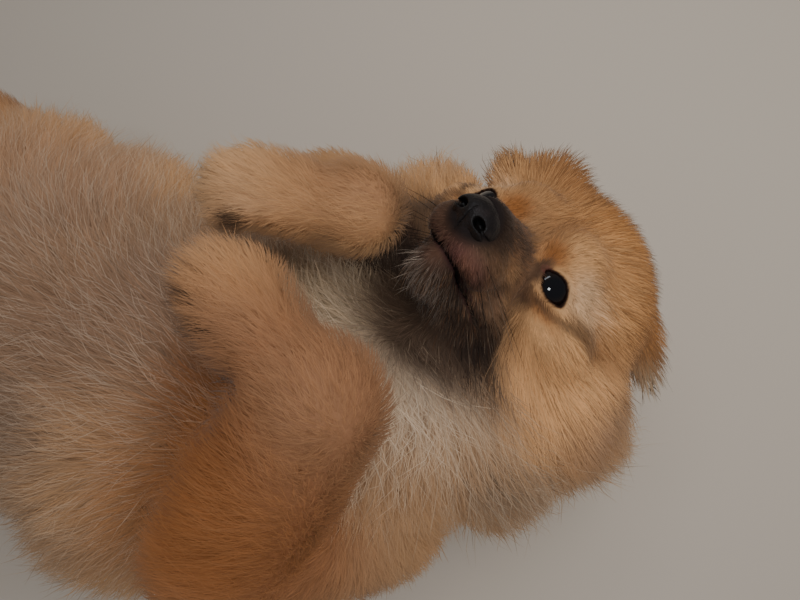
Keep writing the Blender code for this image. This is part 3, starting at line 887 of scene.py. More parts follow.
# ------------------------------------------------------------------ the skin
def build_skin():
    k = 1.11
    X = axis(((-300, 3.4), (-130, 3.2), (-104, 1.9), (-60, 1.7), (-38, 1.1), (-20, 0.68), (28, 0.68), (46, 1.4), (72, 3.0)), k)
    Y = axis(((-84, 3.4), (-30, 3.0), (0, 1.5), (14, 1.1), (26, 0.68), (78, 0.68), (92, 1.6), (108, 3.0)), k)
    Z = axis(((2, 3.4), (40, 2.8), (62, 1.3), (72, 0.68), (112, 0.68), (122, 1.1), (138, 1.6)), k)
    V, Fq = grid_mesh(skin, X, Y, Z)
    q = head_local(V)
    keep = ((np.abs(eye_edge(q)) < 3) & (q[:, 0] > 10)).astype(float)
    V = smooth_mesh(V, Fq, 2, keep * 0.7)
    return V, Fq


SV, SF = build_skin()
SN = vertex_normals(SV, SF)
print("skin", len(SV), len(SF))


def skin_colour(V):
    grp, near, t, along, q = where(V)
    c = markings(V, grp, t)
    # the skin is painted a fifth darker than the coat above it: painted shade under the fur
    c = c * 0.80
    pink = 0.12 * (1 - np.clip(grp["head"], 0, 1)) * (1 - throat_zone(V))
    c = mix(c, PAL["skin_pink"] * 0.8, pink)
    e = eye_edge(q)
    c = mix(c, lin(44, 27, 21), (1 - ramp(e, 0.35, 1.2)) * (q[:, 0] > 12))
    inner = np.zeros(len(V))
    for side in (1, -1):
        inner = np.maximum(inner, blob(q, EYE[side] + lid_axes(side)[0] * 6.5 - lid_axes(side)[1] * 5.8, (2, 2, 1.3), 0.5))
    c = mix(c, lin(120, 74, 66), 0.6 * inner)
    mm = mouth_line(q)
    lip = (1 - ramp(np.abs(mm), 0.4, 2.4)) * ramp(q[:, 0], 24, 28) * (q[:, 0] < 70)
    c = mix(c, lin(74, 46, 46), lip * 0.8)
    c = mix(c, lin(26, 15, 14), (1 - ramp(np.abs(mm), 0.2, 0.7)) * ramp(q[:, 0], 25, 28))
    nose = blob(q, (57, 0, -10.2), (6, 9, 8.2), 0.3)
    c = mix(c, lin(34, 28, 28), nose)
    for limb in LIMBS.values():
        p = (V - limb["pts"][2]) @ limb["paw"]
        T = limb["toe_length"]
        pad = blob(p, (T * 0.56, 0, -8.6), (8, 8, 4.5), 0.3)
        for a, b_, c_ in paw_parts(limb):
            pad = np.maximum(pad, blob(p, (c_[0] - 1.4, c_[1], c_[2] - 4.2), (4.6, 3.4, 3.0), 0.3))
        c = mix(c, PAL["pad"], pad)
    return c


skin_obj = add_mesh("pup_skin", SV, SF.ravel(), np.full(len(SF), 4), SKIN, skin_colour(SV))
FLESH = [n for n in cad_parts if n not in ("eye_left", "eye_right")]
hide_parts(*FLESH)

# ------------------------------------------------------------------ nose leather
def nose_field(q):
    m = q.copy()
    m[:, 1] = np.abs(q[:, 1])
    d = d_ell(q, (54.8, 0, -9.9), (6.0, 6.9, 5.6))
    d = smin(d, d_ell(m, (54.8, 4.7, -11.0), (4.8, 3.2, 4.0)), 2.4)
    d = smin(d, d_ell(q, (54.4, 0, -14.2), (4.2, 4.2, 3.4)), 2.4)
    hole = d_ell(m, (60.4, 4.3, -11.3), (3.8, 2.0, 1.35))
    slit = d_cone(m, (58.4, 5.4, -11.8), (54.2, 9.0, -12.4), 0.75, 0.5)
    d = smax(d, -smin(hole, slit, 0.8), 0.9)
    mid = np.maximum(np.abs(q[:, 1]) - 0.18, -(d + 0.7))
    mid = np.maximum(mid, q[:, 2] + 9.0)
    return smax(d, -mid, 0.7)


h = 0.28
NV, NF = grid_mesh(nose_field, np.arange(48, 64, h), np.arange(-10, 10, h), np.arange(-18, -2.5, h))
NV = smooth_mesh(NV, NF, 1)
m = NV.copy()
m[:, 1] = np.abs(m[:, 1])
# the nostrils painted near-black inside: painted shade in the openings
dark = np.maximum(1 - ramp(d_ell(m, (59.2, 4.4, -11.4), (3.4, 2.1, 1.45)), -0.2, 0.6), 0)
nc = mix(np.broadcast_to(lin(26, 22, 23), NV.shape), lin(4, 3, 3), dark)
nc = mix(nc, lin(46, 37, 38), 0.4 * np.clip(wobble(NV, 4, 9), 0, 1))
nose_obj = add_mesh("nose_leather", HEAD + NV @ HQ.T, NF.ravel(), np.full(len(NF), 4), LEATHER, nc)

# ------------------------------------------------------------------ eyes
for side, name in ((1, "eye_left"), (-1, "eye_right")):
    g, o_, u_ = lid_axes(side)
    nu, nv = 64, 40
    th = np.linspace(0, math.pi, nv + 1)[1:-1]
    ph = np.linspace(0, 2 * math.pi, nu, endpoint=False)
    T, Pp = np.meshgrid(th, ph, indexing="ij")
    bulge = 0.45 * (1 - ramp(T, math.radians(20), math.radians(58)))
    R = EYE_R + bulge
    D = np.cos(T)[..., None] * g + np.sin(T)[..., None] * (np.cos(Pp)[..., None] * o_ + np.sin(Pp)[..., None] * u_)
    V = np.concatenate([(EYE[side] + g * (EYE_R + 0.45))[None], (EYE[side] + D * R[..., None]).reshape(-1, 3), (EYE[side] - g * EYE_R)[None]])
    ring = lambda i: 1 + i * nu + np.arange(nu)
    loops, counts = [], []
    for i in range(nv - 2):
        a, b2 = ring(i), ring(i + 1)
        q4 = np.stack([a, b2, np.roll(b2, -1), np.roll(a, -1)], 1)
        loops.append(q4.ravel())
        counts += [4] * nu
    a = ring(0)
    loops.append(np.stack([np.zeros(nu, int), a, np.roll(a, -1)], 1).ravel())
    counts += [3] * nu
    a = ring(nv - 2)
    loops.append(np.stack([a, np.full(nu, len(V) - 1), np.roll(a, -1)], 1).ravel())
    counts += [3] * nu
    ang = np.degrees(np.arccos(np.clip(unit(V - EYE[side]) @ g, -1, 1)))
    spokes = 0.5 + 0.5 * np.sin(np.arctan2((V - EYE[side]) @ u_, (V - EYE[side]) @ o_) * 23)
    ec = np.broadcast_to(lin(20, 15, 16), V.shape)
    ec = mix(ec, lin(42, 27, 20), 0.6 * spokes * ramp(ang, 24, 32) * (1 - ramp(ang, 36, 44)))
    ec = mix(ec, lin(5, 7, 15), 1 - ramp(ang, 20, 25))
    ec = mix(ec, lin(10, 8, 9), ramp(ang, 42, 47))
    ec = mix(ec, lin(60, 48, 44), ramp(ang, 56, 62))
    ob = add_mesh("eyeball_" + name[4:], HEAD + V @ HQ.T, np.concatenate(loops), np.array(counts), EYEBALL, ec)
    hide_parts(name)

# ------------------------------------------------------------------ claws
def claws():
    for name, limb in LIMBS.items():
        Vs, Ls, off = [], [], 0
        for a, b2, c in paw_parts(limb):
            c = np.array(c)
            k = 0.62 if name.startswith("fore") else 1.0
            p = [c + (1.4, 0, 0.5), c + (1.4 + 2.6 * k, 0, 0.4), c + (1.4 + 4.8 * k, 0, -1.0 * k), c + (1.4 + 6.0 * k, 0, -2.8 * k)]
            r = [1.35, 1.15, 0.75, 0.12]
            n = 10
            for j in range(4):
                tan = unit(p[min(j + 1, 3)] - p[max(j - 1, 0)])
                s = np.array((0.0, 1.0, 0.0))
                w = np.cross(tan, s)
                an = np.arange(n) * 2 * math.pi / n
                Vs.append(p[j] + r[j] * (0.75 * np.cos(an)[:, None] * s + np.sin(an)[:, None] * w))
            for j in range(3):
                i0 = off + j * n + np.arange(n)
                i1 = np.roll(i0, -1)
                Ls.append(np.stack([i0, i1, i1 + n, i0 + n], 1))
            off += 4 * n
        V = np.concatenate(Vs)
        Q4 = np.concatenate(Ls)
        loops = [Q4.ravel()]
        counts = [4] * len(Q4)
        for k in range(4):
            first = k * 40
            loops.append((first + np.arange(10))[::-1])
            loops.append(first + 30 + np.arange(10))
            counts += [10, 10]
        W = limb["pts"][2] + V @ limb["paw"].T
        shade = np.tile(np.repeat([0.0, 0.3, 0.7, 1.0], 10), 4)
        cc = mix(np.broadcast_to(lin(40, 32, 30), V.shape), lin(84, 70, 62), shade)
        ob = add_mesh("claws_" + name, W, np.concatenate(loops), np.array(counts), CLAW, cc)


claws()

# ------------------------------------------------------------------ camera
A = np.stack([(0.9889, 0.1070, -0.1023), (0.1249, -0.9740, 0.1893), (-0.0794, -0.2000, -0.9766)], 1)
u0, s0, v0 = np.linalg.svd(A)
A = u0 @ v0
al = math.radians(-8)
M8 = np.array([[math.cos(al), -math.sin(al), 0], [math.sin(al), math.cos(al), 0], [0, 0, 1]])
RC = A @ M8
CAM = np.array((0, 0, 260.0))
cam_data = bpy.data.cameras.new("camera")
cam_data.sensor_width = 36
cam_data.lens = 27
cam_data.clip_start = 0.005
cam = bpy.data.objects.new("camera", cam_data)
bpy.context.scene.collection.objects.link(cam)
cam.matrix_world = Matrix.Translation(Vector(to_model(CAM))) @ Matrix(
    [[RC[0][i], -RC[1][i], -RC[2][i]] for i in range(3)]).to_4x4()
bpy.context.scene.camera = cam


def seen(P, N):
    """1 on what faces the camera inside its frame, 0 on the far side."""
    c = (P - CAM) @ RC.T
    x = 400 + 600 * c[:, 0] / c[:, 2]
    y = 300 + 600 * c[:, 1] / c[:, 2]
    inside = (1 - ramp(np.maximum(-x, x - 800), 0, 60)) * (1 - ramp(np.maximum(-y, y - 600), 0, 60))
    facing = ramp((N * unit(CAM - P)).sum(1), -0.35, 0.05)
    return inside * facing


# ------------------------------------------------------------------ the coat
NOSE_AT = np.array((60.0, 0.0, -8.0))
FAN = np.array((-40.0, -25.0, 90.0))


def coat_plan(P, N):
    """What the coat is like at each place: direction, length, width, curl, density."""
    grp, near, t, along, q = where(P)
    g = {k: grp[k][:, None] for k in grp}
    # belly and flanks fan out from under the left elbow, the frill from the throat
    fan = unit((P - FAN) * np.array((1.0, 1.0, 0.6)) + np.array((0, 0, 1.0)))
    trunk = unit(fan + np.array((-0.25, 0, 0)) * ramp(-P[:, :1], 30, 70))
    rise = ramp(P[:, 1], 0, 48) * ramp(P[:, 0], -200, -160) * ramp(-P[:, 0], 45, 80) * ramp(P[:, 2], 38, 62)
    trunk = unit(mix(trunk, unit((0.30, 0.95, -0.1)), 0.68 * rise))
    fall = ramp(-P[:, 1], 22, 55) * ramp(-P[:, 0], 60, 90) * ramp(P[:, 0], -150, -120)
    trunk = unit(trunk + np.array((0, -0.5, 0)) * fall[:, None])
    low = ramp(P[:, 2], 45, 15)[:, None]
    trunk = unit(trunk * (1 - 0.6 * low) + np.array((-1.0, 0, 0)) * 0.6 * low)
    frill = unit(P - THROAT_AT)
    wf = blob(P, (-6, 0, 90), (44, 44, 26), 0.5)
    trunk = unit(mix(trunk, frill, wf))
    radial = q - NOSE_AT
    face = radial * np.array((1.0, 1.15, 1.0))
    e = np.full(len(P), 99.0)
    for side in (1, -1):
        away = q - EYE[side]
        dist = np.linalg.norm(away, axis=1)
        w = (1 - ramp(dist, 8.5, 16))[:, None]
        face = unit(face) + unit(away) * w * 1.5
        e = np.minimum(e, dist)
    face_w = unit(face) @ HQ.T
    ruff_local = unit(q * np.array((0.25, 1, 1)) + np.array((-22.0, 0, 0)))
    ruff = unit(unit(ruff_local @ HQ.T) * (1 - 0.6 * wf)[:, None] + trunk * (0.9 + 0.5 * wf)[:, None])
    th = throat_zone(P) * (1 - np.clip(sum(grp[k] for k in LIMBS), 0, 1))
    trunk = unit(mix(trunk, face_w, th))
    ruff = unit(mix(ruff, face_w, th))
    ears = np.zeros_like(P)
    for side, k in ((1, "ear_left"), (-1, "ear_right")):
        a, b2, w, Q = ear_axes(side)
        ears += ((unit(b2 - a) + 0.35 * unit(q - (a + b2) / 2)) @ HQ.T) * g[k]
    tail_dir = unit(np.where((P[:, :1] > -240), TAIL[1] - TAIL[0], TAIL[2] - TAIL[1]))
    limb_w = sum(g[k] for k in LIMBS)
    root_w = ramp(t, 0.15, 0.9)[:, None]
    limb_dir = unit(along * root_w + trunk * (1 - root_w))
    # feathering trails off the back of the left forearm
    feather = blob(P, (-50, -30, 110), (20, 26, 22), 0.5) * np.clip(grp["fore_left"], 0, 1)
    limb_dir = unit(mix(limb_dir, unit(np.array((-0.8, -0.35, 0.2))), 0.75 * feather))
    v = trunk * g["trunk"] + ruff * g["neck"] + face_w * g["head"] + ears + tail_dir * g["tail"] + limb_dir * limb_w
    calm = (1 - 0.6 * np.clip(grp["head"], 0, 1))[:, None]
    v = v + calm * 0.24 * np.stack([wobble(P, 16, 21), wobble(P, 16, 22), wobble(P, 16, 23)], 1)
    v = v - N * (v * N).sum(1, keepdims=True)
    v = unit(v)
    f = q[:, 0]
    # lengths
    muzz = ramp(f, 24, 40) * np.clip(grp["head"], 0, 1)
    cheek = ramp(np.abs(q[:, 1]), 22, 38)
    head_len = 8.6 + 7.4 * cheek + 5.0 * ramp(-f, -4, 22)
    m = q.copy()
    m[:, 1] = np.abs(q[:, 1])
    by_ear = blob(m, (-2, 30, 20), (18, 14, 16), 0.4)
    head_len = head_len + (np.where(q[:, 1] < 0, 6.0, 8.5) - head_len) * by_ear
    head_len = head_len + (3.6 - head_len) * ramp(f, 18, 34)
    head_len = head_len + (2.8 - head_len) * ramp(f, 36, 50)
    close = (1 - ramp(e, 7.5, 22)) * ramp(f, 8, 18)
    head_len = head_len + (2.4 - head_len) * close
    head_len = head_len + (4.6 - head_len) * blob(m, (41, 12, -15), (9, 6, 8), 0.6)
    head_len = head_len + (8.0 - head_len) * blob(q, (44, -2, -31), (10, 13, 6), 0.5)
    limb_len = 10.0 + (7.0 - 10.0) * ramp(t, 0.6, 1.6)
    limb_len = limb_len + (5.6 - limb_len) * ramp(t, 1.9, 2.5)
    limb_len = limb_len + (6.6 - limb_len) * ramp(t, 2.5, 2.95)
    limb_len = limb_len + (20.0 - limb_len) * feather * 0.9
    hind = grp["hind_left"] + grp["hind_right"]
    limb_len = limb_len * (1 + 0.12 * np.clip(hind, 0, 1))
    trunk_len = 17 + 3 * ramp(P[:, 2], 90, 55)
    neck_len = 21.0
    trunk_len = trunk_len + (7.0 - trunk_len) * th
    neck_len = neck_len + (7.0 - neck_len) * th
    length = (trunk_len * grp["trunk"] + neck_len * grp["neck"] + head_len * grp["head"]
              + 6.5 * grp["ear_left"] + 3.9 * grp["ear_right"] + 20 * grp["tail"]
              + limb_len * sum(grp[k] for k in LIMBS))
    # density, per square millimetre
    vis = seen(P, N)
    under = ramp(P[:, 2], 14, 7) * (N[:, 2] < -0.6)
    head_den = 1.25 + 2.1 * vis + 1.3 * ramp(f, 20, 36) * (0.3 + 0.7 * vis)
    limb_den = 0.52 + 1.75 * vis + 0.45 * ramp(t, 2.0, 2.6) * vis
    den = ((0.27 + 1.13 * vis) * grp["trunk"] + (0.40 + 1.2 * vis) * grp["neck"] + head_den * 0.80 * grp["head"]
           + (0.9 + 0.9 * vis) * (grp["ear_left"] + grp["ear_right"]) + 0.62 * grp["tail"]
           + limb_den * sum(grp[k] for k in LIMBS))
    den = den * (1 - 0.75 * under) * DENSITY
    width = ((0.64 - 0.36 * vis) * (grp["trunk"] + grp["neck"]) + 0.62 * grp["tail"]
             + (0.38 - 0.16 * vis) * (1 - 0.15 * muzz) * (grp["head"] + grp["ear_left"] + grp["ear_right"])
             + (0.50 - 0.30 * vis) * sum(grp[k] for k in LIMBS))
    curl = 0.6 * grp["trunk"] + 0.7 * grp["neck"] + 0.15 * grp["head"] + 0.4 * grp["tail"] + 0.3 * sum(grp[k] for k in LIMBS)
    curl = curl + 1.1 * blob(P, (-28, 18, 92), (28, 28, 18), 0.4) * (1 - th)
    # bare places
    bare = (eye_edge(q) < 0.9) & (f > 12)
    bare |= blob(q, (57.5, 0, -10.4), (6, 8.6, 7.6), 0.02) > 0.5
    bare |= (np.abs(mouth_line(q)) < 0.5) & (f > 25.5) & (grp["head"] > 0.5)
    for limb in LIMBS.values():
        p = (P - limb["pts"][2]) @ limb["paw"]
        T = limb["toe_length"]
        bare |= blob(p, (T * 0.56, 0, -9.4), (6.4, 6.0, 3.0), 0.02) > 0.5
        for a, b2, c in paw_parts(limb):
            bare |= blob(p, (c[0] - 1.2, c[1], c[2] - 4.8), (3.6, 2.5, 2.2), 0.02) > 0.5
    den = np.where(bare, 0, den)
    return dict(v=v, length=length, width=width, den=den, curl=curl, grp=grp, near=near, t=t, q=q, vis=vis, muzz=muzz, throat=th)


def strands(name, path, side, width, col_root, col_tip, uv, flat=0.55, coat_n=None):
    """Closed three-sided tapering hairs. path: (n, S+1, 3); side: (n, 3)."""
    n, S1, _ = path.shape
    S = S1 - 1
    tang = np.empty_like(path)
    tang[:, 1:-1] = path[:, 2:] - path[:, :-2]
    tang[:, 0] = path[:, 1] - path[:, 0]
    tang[:, -1] = path[:, -1] - path[:, -2]
    tang = unit(tang)
    a = unit(side[:, None] - tang * (side[:, None] * tang).sum(-1, keepdims=True))
    b2 = np.cross(tang, a)
    prof = np.interp(np.linspace(0, 1, S1), [0, 0.35, 0.75, 1], [0.85, 1.0, 0.62, 0])
    verts = np.empty((n, S * 3 + 1, 3))
    cols = np.empty((n, S * 3 + 1, 3))
    nrm = np.empty((n, S * 3 + 1, 3))
    for j in range(S):
        w = (width * prof[j] * 0.5)[:, None]
        for s in range(3):
            an = 2 * math.pi * s / 3 + math.pi / 2
            verts[:, j * 3 + s] = path[:, j] + a[:, j] * w * math.cos(an) * 1.15 + b2[:, j] * w * math.sin(an) * flat
            cols[:, j * 3 + s] = mix(col_root, col_tip, np.full(n, (j / S) ** 1.2))
            nrm[:, j * 3 + s] = a[:, j] * math.cos(an) + b2[:, j] * math.sin(an)
    verts[:, -1] = path[:, -1]
    cols[:, -1] = col_tip
    nrm[:, -1] = tang[:, -1]
    tri, uvl = [], []
    px = 0.003
    for j in range(S - 1):
        for s in range(3):
            s2 = (s + 1) % 3
            A_, B_, C_, D_ = j * 3 + s, j * 3 + s2, (j + 1) * 3 + s2, (j + 1) * 3 + s
            x0, x1, y0, y1 = s / 3, (s + 1) / 3, j / S, (j + 1) / S
            tri += [[A_, B_, C_], [A_, C_, D_]]
            uvl += [[(x0, y0), (x1, y0), (x1, y1)], [(x0, y0), (x1, y1), (x0, y1)]]
    j = S - 1
    for s in range(3):
        s2 = (s + 1) % 3
        tri.append([j * 3 + s, j * 3 + s2, S * 3])
        uvl.append([(s / 3, j / S), ((s + 1) / 3, j / S), ((s + 0.5) / 3, 1.0)])
    tri.append([0, 2, 1])
    uvl.append([(0, 0), (1 / 3, 0), (0.16, 0.2)])
    tri = np.array(tri)
    uvl = np.array(uvl, float) * px
    base = (np.arange(n) * (S * 3 + 1))[:, None, None]
    loops = (tri[None] + base).reshape(-1)
    uvs = (uvl[None] + uv[:, None, None, :]).reshape(-1, 2)
    ob = add_mesh(name, verts.reshape(-1, 3), loops, np.full(n * len(tri), 3), FUR, cols.reshape(-1, 3), uvs)
    if coat_n is not None:
        # a hair is lit as part of the coat's surface, so that the fur reads soft
        nrm = unit(nrm * 0.42 + coat_n[:, None] * 0.75 + np.array((0, 0, 0.20)))
        at = ob.data.attributes.new("custom_normal", "FLOAT_VECTOR", "POINT")
        at.data.foreach_set("vector", nrm.reshape(-1).astype(np.float32))
        ob.data.update()
    return ob, n * len(tri)


def spread(u, v):
    """Fit an unwrap to the square, leaving room for the patches."""
    out = []
    for x in (u, v):
        lo, hi = x.min(), x.max()
        out.append(0.001 + 0.995 * (x - lo) / max(hi - lo, 1e-6))
    return np.stack(out, 1)


def unwrap(P, name):
    if name in LIMBS:
        limb = LIMBS[name]
        p = limb["pts"]
        dd, vv = [], []
        for i in range(3):
            ba = p[i + 1] - p[i]
            h = np.clip(((P - p[i]) @ ba) / (ba @ ba), 0, 1.3 if i == 2 else 1)
            dd.append(np.linalg.norm(P - p[i] - h[:, None] * ba, axis=1) / limb["out"][i])
            vv.append(h + i)
        k = np.argmin(np.stack(dd), 0)
        v = np.stack(vv)[k, np.arange(len(P))]
        axes = [unit(p[i + 1] - p[i]) for i in range(3)]
        u = np.zeros(len(P))
        for i in range(3):
            x = unit(np.cross(axes[i], (0.3, 0.2, 0.93)))
            y = np.cross(axes[i], x)
            r = P - p[i]
            u = np.where(k == i, np.arctan2(r @ y, r @ x), u)
        return spread(u, v)
    if name in ("head", "ear_left", "ear_right"):
        q = head_local(P) - np.array((0, 0, -6))
        return spread(np.arctan2(q[:, 2], q[:, 1]), q[:, 0])
    return spread(np.arctan2(P[:, 1] - 0.0, P[:, 2] - 45), P[:, 0])


def hair_colours(P, plan, n, long_light, under_fur):
    """Root and tip colours of each hair."""
    c = markings(P, plan["grp"], plan["t"])
    grp, q, th = plan["grp"], plan["q"], plan["throat"]
    tone = 1 + (0.075 + 0.065 * np.clip(grp["head"], 0, 1) + 0.09 * plan["muzz"]) * RNG.normal(size=n)
    shade = np.clip(tone, 0.75, 1.3)[:, None]
    warm = RNG.normal(size=(n, 1)) * np.array((0.025, 0.0, -0.035))
    body = np.clip(grp["trunk"] + grp["neck"], 0, 1) * (1 - th)
    # hair roots painted darker than their tips, most on the body: painted shade deep in the coat, since most hairs
    # cast no shadow
    root = c * (0.74 - 0.12 * body)[:, None] * (0.5 + 0.5 * shade)
    tip = c * 1.06 * shade * (1 + warm)
    tip = tip * (1 - 0.14 * body * under_fur)[:, None]
    tip = mix(tip, PAL["white_hair"], np.where(long_light, 0.36, 0.0) * body)
    # a few grey-brown hairs all over the frill and belly
    few = RNG.random(n) < 0.07
    tip = mix(tip, PAL["grey"], np.where(few, 0.55, 0.0) * body)
    # dark tips: crown, ears, the edge of the ruff, the back and the tail
    head = np.clip(grp["head"] + grp["ear_left"] + grp["ear_right"], 0, 1)
    crown = ramp(q[:, 2], 2, 26) * head * (1 - ramp(q[:, 0], 10, 26))
    ring = ramp(np.abs(q[:, 1]), 34, 46) * head * ramp(q[:, 0], 8, -14)
    ears = grp["ear_left"] * 0.12 + grp["ear_right"] * 0.3
    back = ramp(P[:, 2], 40, 18) * body
    tail = grp["tail"] * 0.5
    p_dark = np.clip(0.30 * crown + 0.42 * ring + ears + 0.5 * back + tail, 0, 0.8)
    dark = RNG.random(n) < p_dark
    tip = mix(tip, PAL["sable"], np.where(dark, RNG.uniform(0.3, 0.8, n), 0))
    ends = head_local(P + plan["v"] * plan["length"][:, None] * 0.8)
    ends[:, 1] = np.abs(ends[:, 1])
    tip = mix(tip, PAL["smoke"], 0.8 * head * (1 - ramp(track(ends, RIM), 2.0, 6.0)))
    chin = blob(q, (44, -3, -32), (11, 14, 7), 0.5) * head
    tip = mix(tip, lin(192, 180, 168), 0.85 * chin * (RNG.random(n) < 0.5))
    jaw = throat_zone(P) * (RNG.random(n) < 0.10)
    tip = mix(tip, lin(150, 132, 112), 0.6 * jaw)
    streak = head * ramp(q[:, 2], 0, 10) * (RNG.random(n) < 0.22)
    tip = mix(tip, PAL["sable"], 0.5 * streak)
    # the muzzle is peppered with single dark and light hairs
    pepper = RNG.random(n)
    tip = tip * (1 - 0.45 * plan["muzz"] * (pepper < 0.22))[:, None]
    tip = mix(tip, PAL["fawn"], 0.6 * plan["muzz"] * (pepper > 0.82) * (q[:, 0] < 50))
    return root, tip


def grow():
    T = np.concatenate([SF[:, [0, 1, 2]], SF[:, [0, 2, 3]]])
    A_, B_, C_ = SV[T[:, 0]], SV[T[:, 1]], SV[T[:, 2]]
    area = 0.5 * np.linalg.norm(np.cross(B_ - A_, C_ - A_), axis=1)
    cen = (A_ + B_ + C_) / 3
    cn = unit(SN[T].sum(1))
    den = np.concatenate([coat_plan(cen[i:i + 60000], cn[i:i + 60000])["den"] for i in range(0, len(cen), 60000)])
    w = np.cumsum(area * den)
    n = int(w[-1])
    pick = np.searchsorted(w, (np.arange(n) + RNG.random(n)) * w[-1] / n)
    pick = np.minimum(pick, len(T) - 1)
    r1, r2 = np.sqrt(RNG.random(n)), RNG.random(n)
    bc = np.stack([1 - r1, r1 * (1 - r2), r1 * r2], 1)
    P = (SV[T[pick]] * bc[..., None]).sum(1)
    N = unit((SN[T[pick]] * bc[..., None]).sum(1))
    plan = coat_plan(P, N)
    keep = plan["den"] > 0
    P, N = P[keep], N[keep]
    plan = coat_plan(P, N)
    n = len(P)
    print("hairs", n)
    grp = plan["grp"]
    v = plan["v"]
    room = np.clip(-outline(P), 1.0, 30.0)
    long_light = RNG.random(n) < 0.22
    fringe = np.clip(grp["head"], 0, 1) * (1 - plan["muzz"]) * (0.04 + 0.12 * ramp(plan["q"][:, 2], -8, 6))
    long_dark = RNG.random(n) < fringe
    under_fur = (RNG.random(n) < 0.52) & ~long_light & ~long_dark
    L = plan["length"] * np.clip(1 + 0.16 * RNG.normal(size=n), 0.55, 1.5)
    body = np.clip(grp["trunk"] + grp["neck"] + grp["tail"], 0, 1)
    limbs = np.clip(sum(grp[k] for k in LIMBS), 0, 1)
    cap = 0.62 * body + 0.66 * limbs + 0.46 * np.clip(1 - body - limbs, 0, 1)
    L = np.maximum(L, np.minimum(room / cap, plan["length"] * 1.9))
    long_dark &= grp["ear_right"] < 0.3
    L = L * (1 + 0.12 * long_light * body + 0.35 * long_dark) * np.where(under_fur, RNG.uniform(0.62, 0.92, n), 1.0)
    lift = np.clip(room * 0.88 / (L * 0.95), 0.10, cap)
    # a few loose hairs stand above the rest and soften the outline
    stray = (RNG.random(n) < 0.05) & (body > 0.5) & ~under_fur
    L = L * np.where(stray, 1.3, 1.0)
    lift = np.clip(lift * (1 + 0.13 * RNG.normal(size=n)), 0.07, 0.84)
    sidev = unit(np.cross(N, v))
    swing = RNG.normal(size=n) * (0.11 + 0.12 * limbs + 0.20 * np.clip(plan["curl"], 0, 1) + 0.16 * ramp(plan["curl"], 0.9, 1.5)) * np.where(long_light, 1.7, 1.0)
    t = unit(v + sidev * swing[:, None])
    cosl = np.sqrt(1 - lift ** 2)
    mean = t * cosl[:, None] + N * lift[:, None]
    start = unit(mean + N * 0.45)
    end = unit(mean - N * 0.35)
    # locks: hairs lean towards the end of a neighbour that leads them
    lock = 4.6 * body + 2.2 * (1 - body)
    order = RNG.permutation(n)
    lead = order[: max(1, int(n * 0.045))]
    tree = KDTree(len(lead))
    for i, k in enumerate(lead):
        tree.insert(P[k], i)
    tree.balance()
    mine = np.array([lead[tree.find(p)[1]] for p in P])
    S = np.where(plan["muzz"] > 0.5, 2, 3)
    S = np.where((grp["head"] > 0.5) & (L < 6), 2, S)
    S = np.where(np.isin(plan["near"], [GROUPS.index(k) for k in LIMBS]) & (L < 11), 2, S)
    S = np.where((plan["curl"] > 0.45) & (plan["vis"] > 0.3) & ((long_light & (RNG.random(n) < 0.45)) | (plan["curl"] > 1.0)), 4, S)
    S = np.where(under_fur, np.where(plan["curl"] > 1.0, 3, 2), S)
    pull = 0.26 * body + 0.18 * (1 - body) + 0.22 * blob(P, (-28, 18, 92), (28, 28, 18), 0.4)
    pull = pull * np.clip(1.3 - plan["muzz"], 0.2, 1)
    phase = RNG.uniform(0, 2 * math.pi, n)
    turns = RNG.uniform(0.6, 1.5, n)
    amp = plan["curl"] * L * np.where(long_light, 0.10, 0.045) * np.clip(1 + 0.4 * RNG.normal(size=n), 0.2, 2)
    amp = amp * (1 + 0.7 * ramp(plan["curl"], 0.9, 1.5))
    shades = RNG.random(n) < 0.13
    lit = coat_normals(P, N, room)

    def at(u):
        """Points at fraction u of each hair."""
        c = P - N * 0.35 + start * (L * u)[:, None] + (end - start) * (L * u * u / 2)[:, None]
        return c

    tip = at(np.ones(n))
    goal = tip[mine]
    gap = np.linalg.norm(goal - tip, axis=1)
    pull = pull * (1 - ramp(gap, lock * 1.6, lock * 3.2))

    def path(idx, S):
        out = np.empty((len(idx), S + 1, 3))
        for j in range(S + 1):
            u = j / S
            c = (P[idx] - N[idx] * 0.35 + start[idx] * (L[idx] * u)[:, None]
                 + (end[idx] - start[idx]) * (L[idx] * u * u / 2)[:, None])
            c = c + (goal[idx] - tip[idx]) * (pull[idx] * u ** 1.6)[:, None]
            a2 = 2 * math.pi * turns[idx] * u + phase[idx]
            c = c + (sidev[idx] * np.cos(a2)[:, None] + N[idx] * 0.6 * np.sin(a2)[:, None]) * (amp[idx] * u)[:, None]
            out[:, j] = c
        return out

    root, tipc = hair_colours(P, plan, n, long_light, under_fur)
    tipc = mix(tipc, PAL["sable"] * 0.8, 0.85 * long_dark)
    root = mix(root, PAL["sable"], 0.3 * long_dark)
    width = plan["width"] * np.clip(1 + 0.2 * RNG.normal(size=n), 0.6, 1.6) * np.where(long_light, 0.72, 1.0) * np.where(long_dark, 0.8, 1.0)
    side = unit(np.cross(unit(mean), N) + 0.0)
    total = 0
    chief = plan["near"]
    for gi, gname in enumerate(GROUPS):
        who = np.where(chief == gi)[0]
        if not len(who):
            continue
        for S_, dense in ((a_, b_) for a_ in sorted(set(S[who])) for b_ in (False, True)):
            idx = who[(S[who] == S_) & (shades[who] == dense)]
            if not len(idx):
                continue
            per = 6 * (S_ - 1) + 4
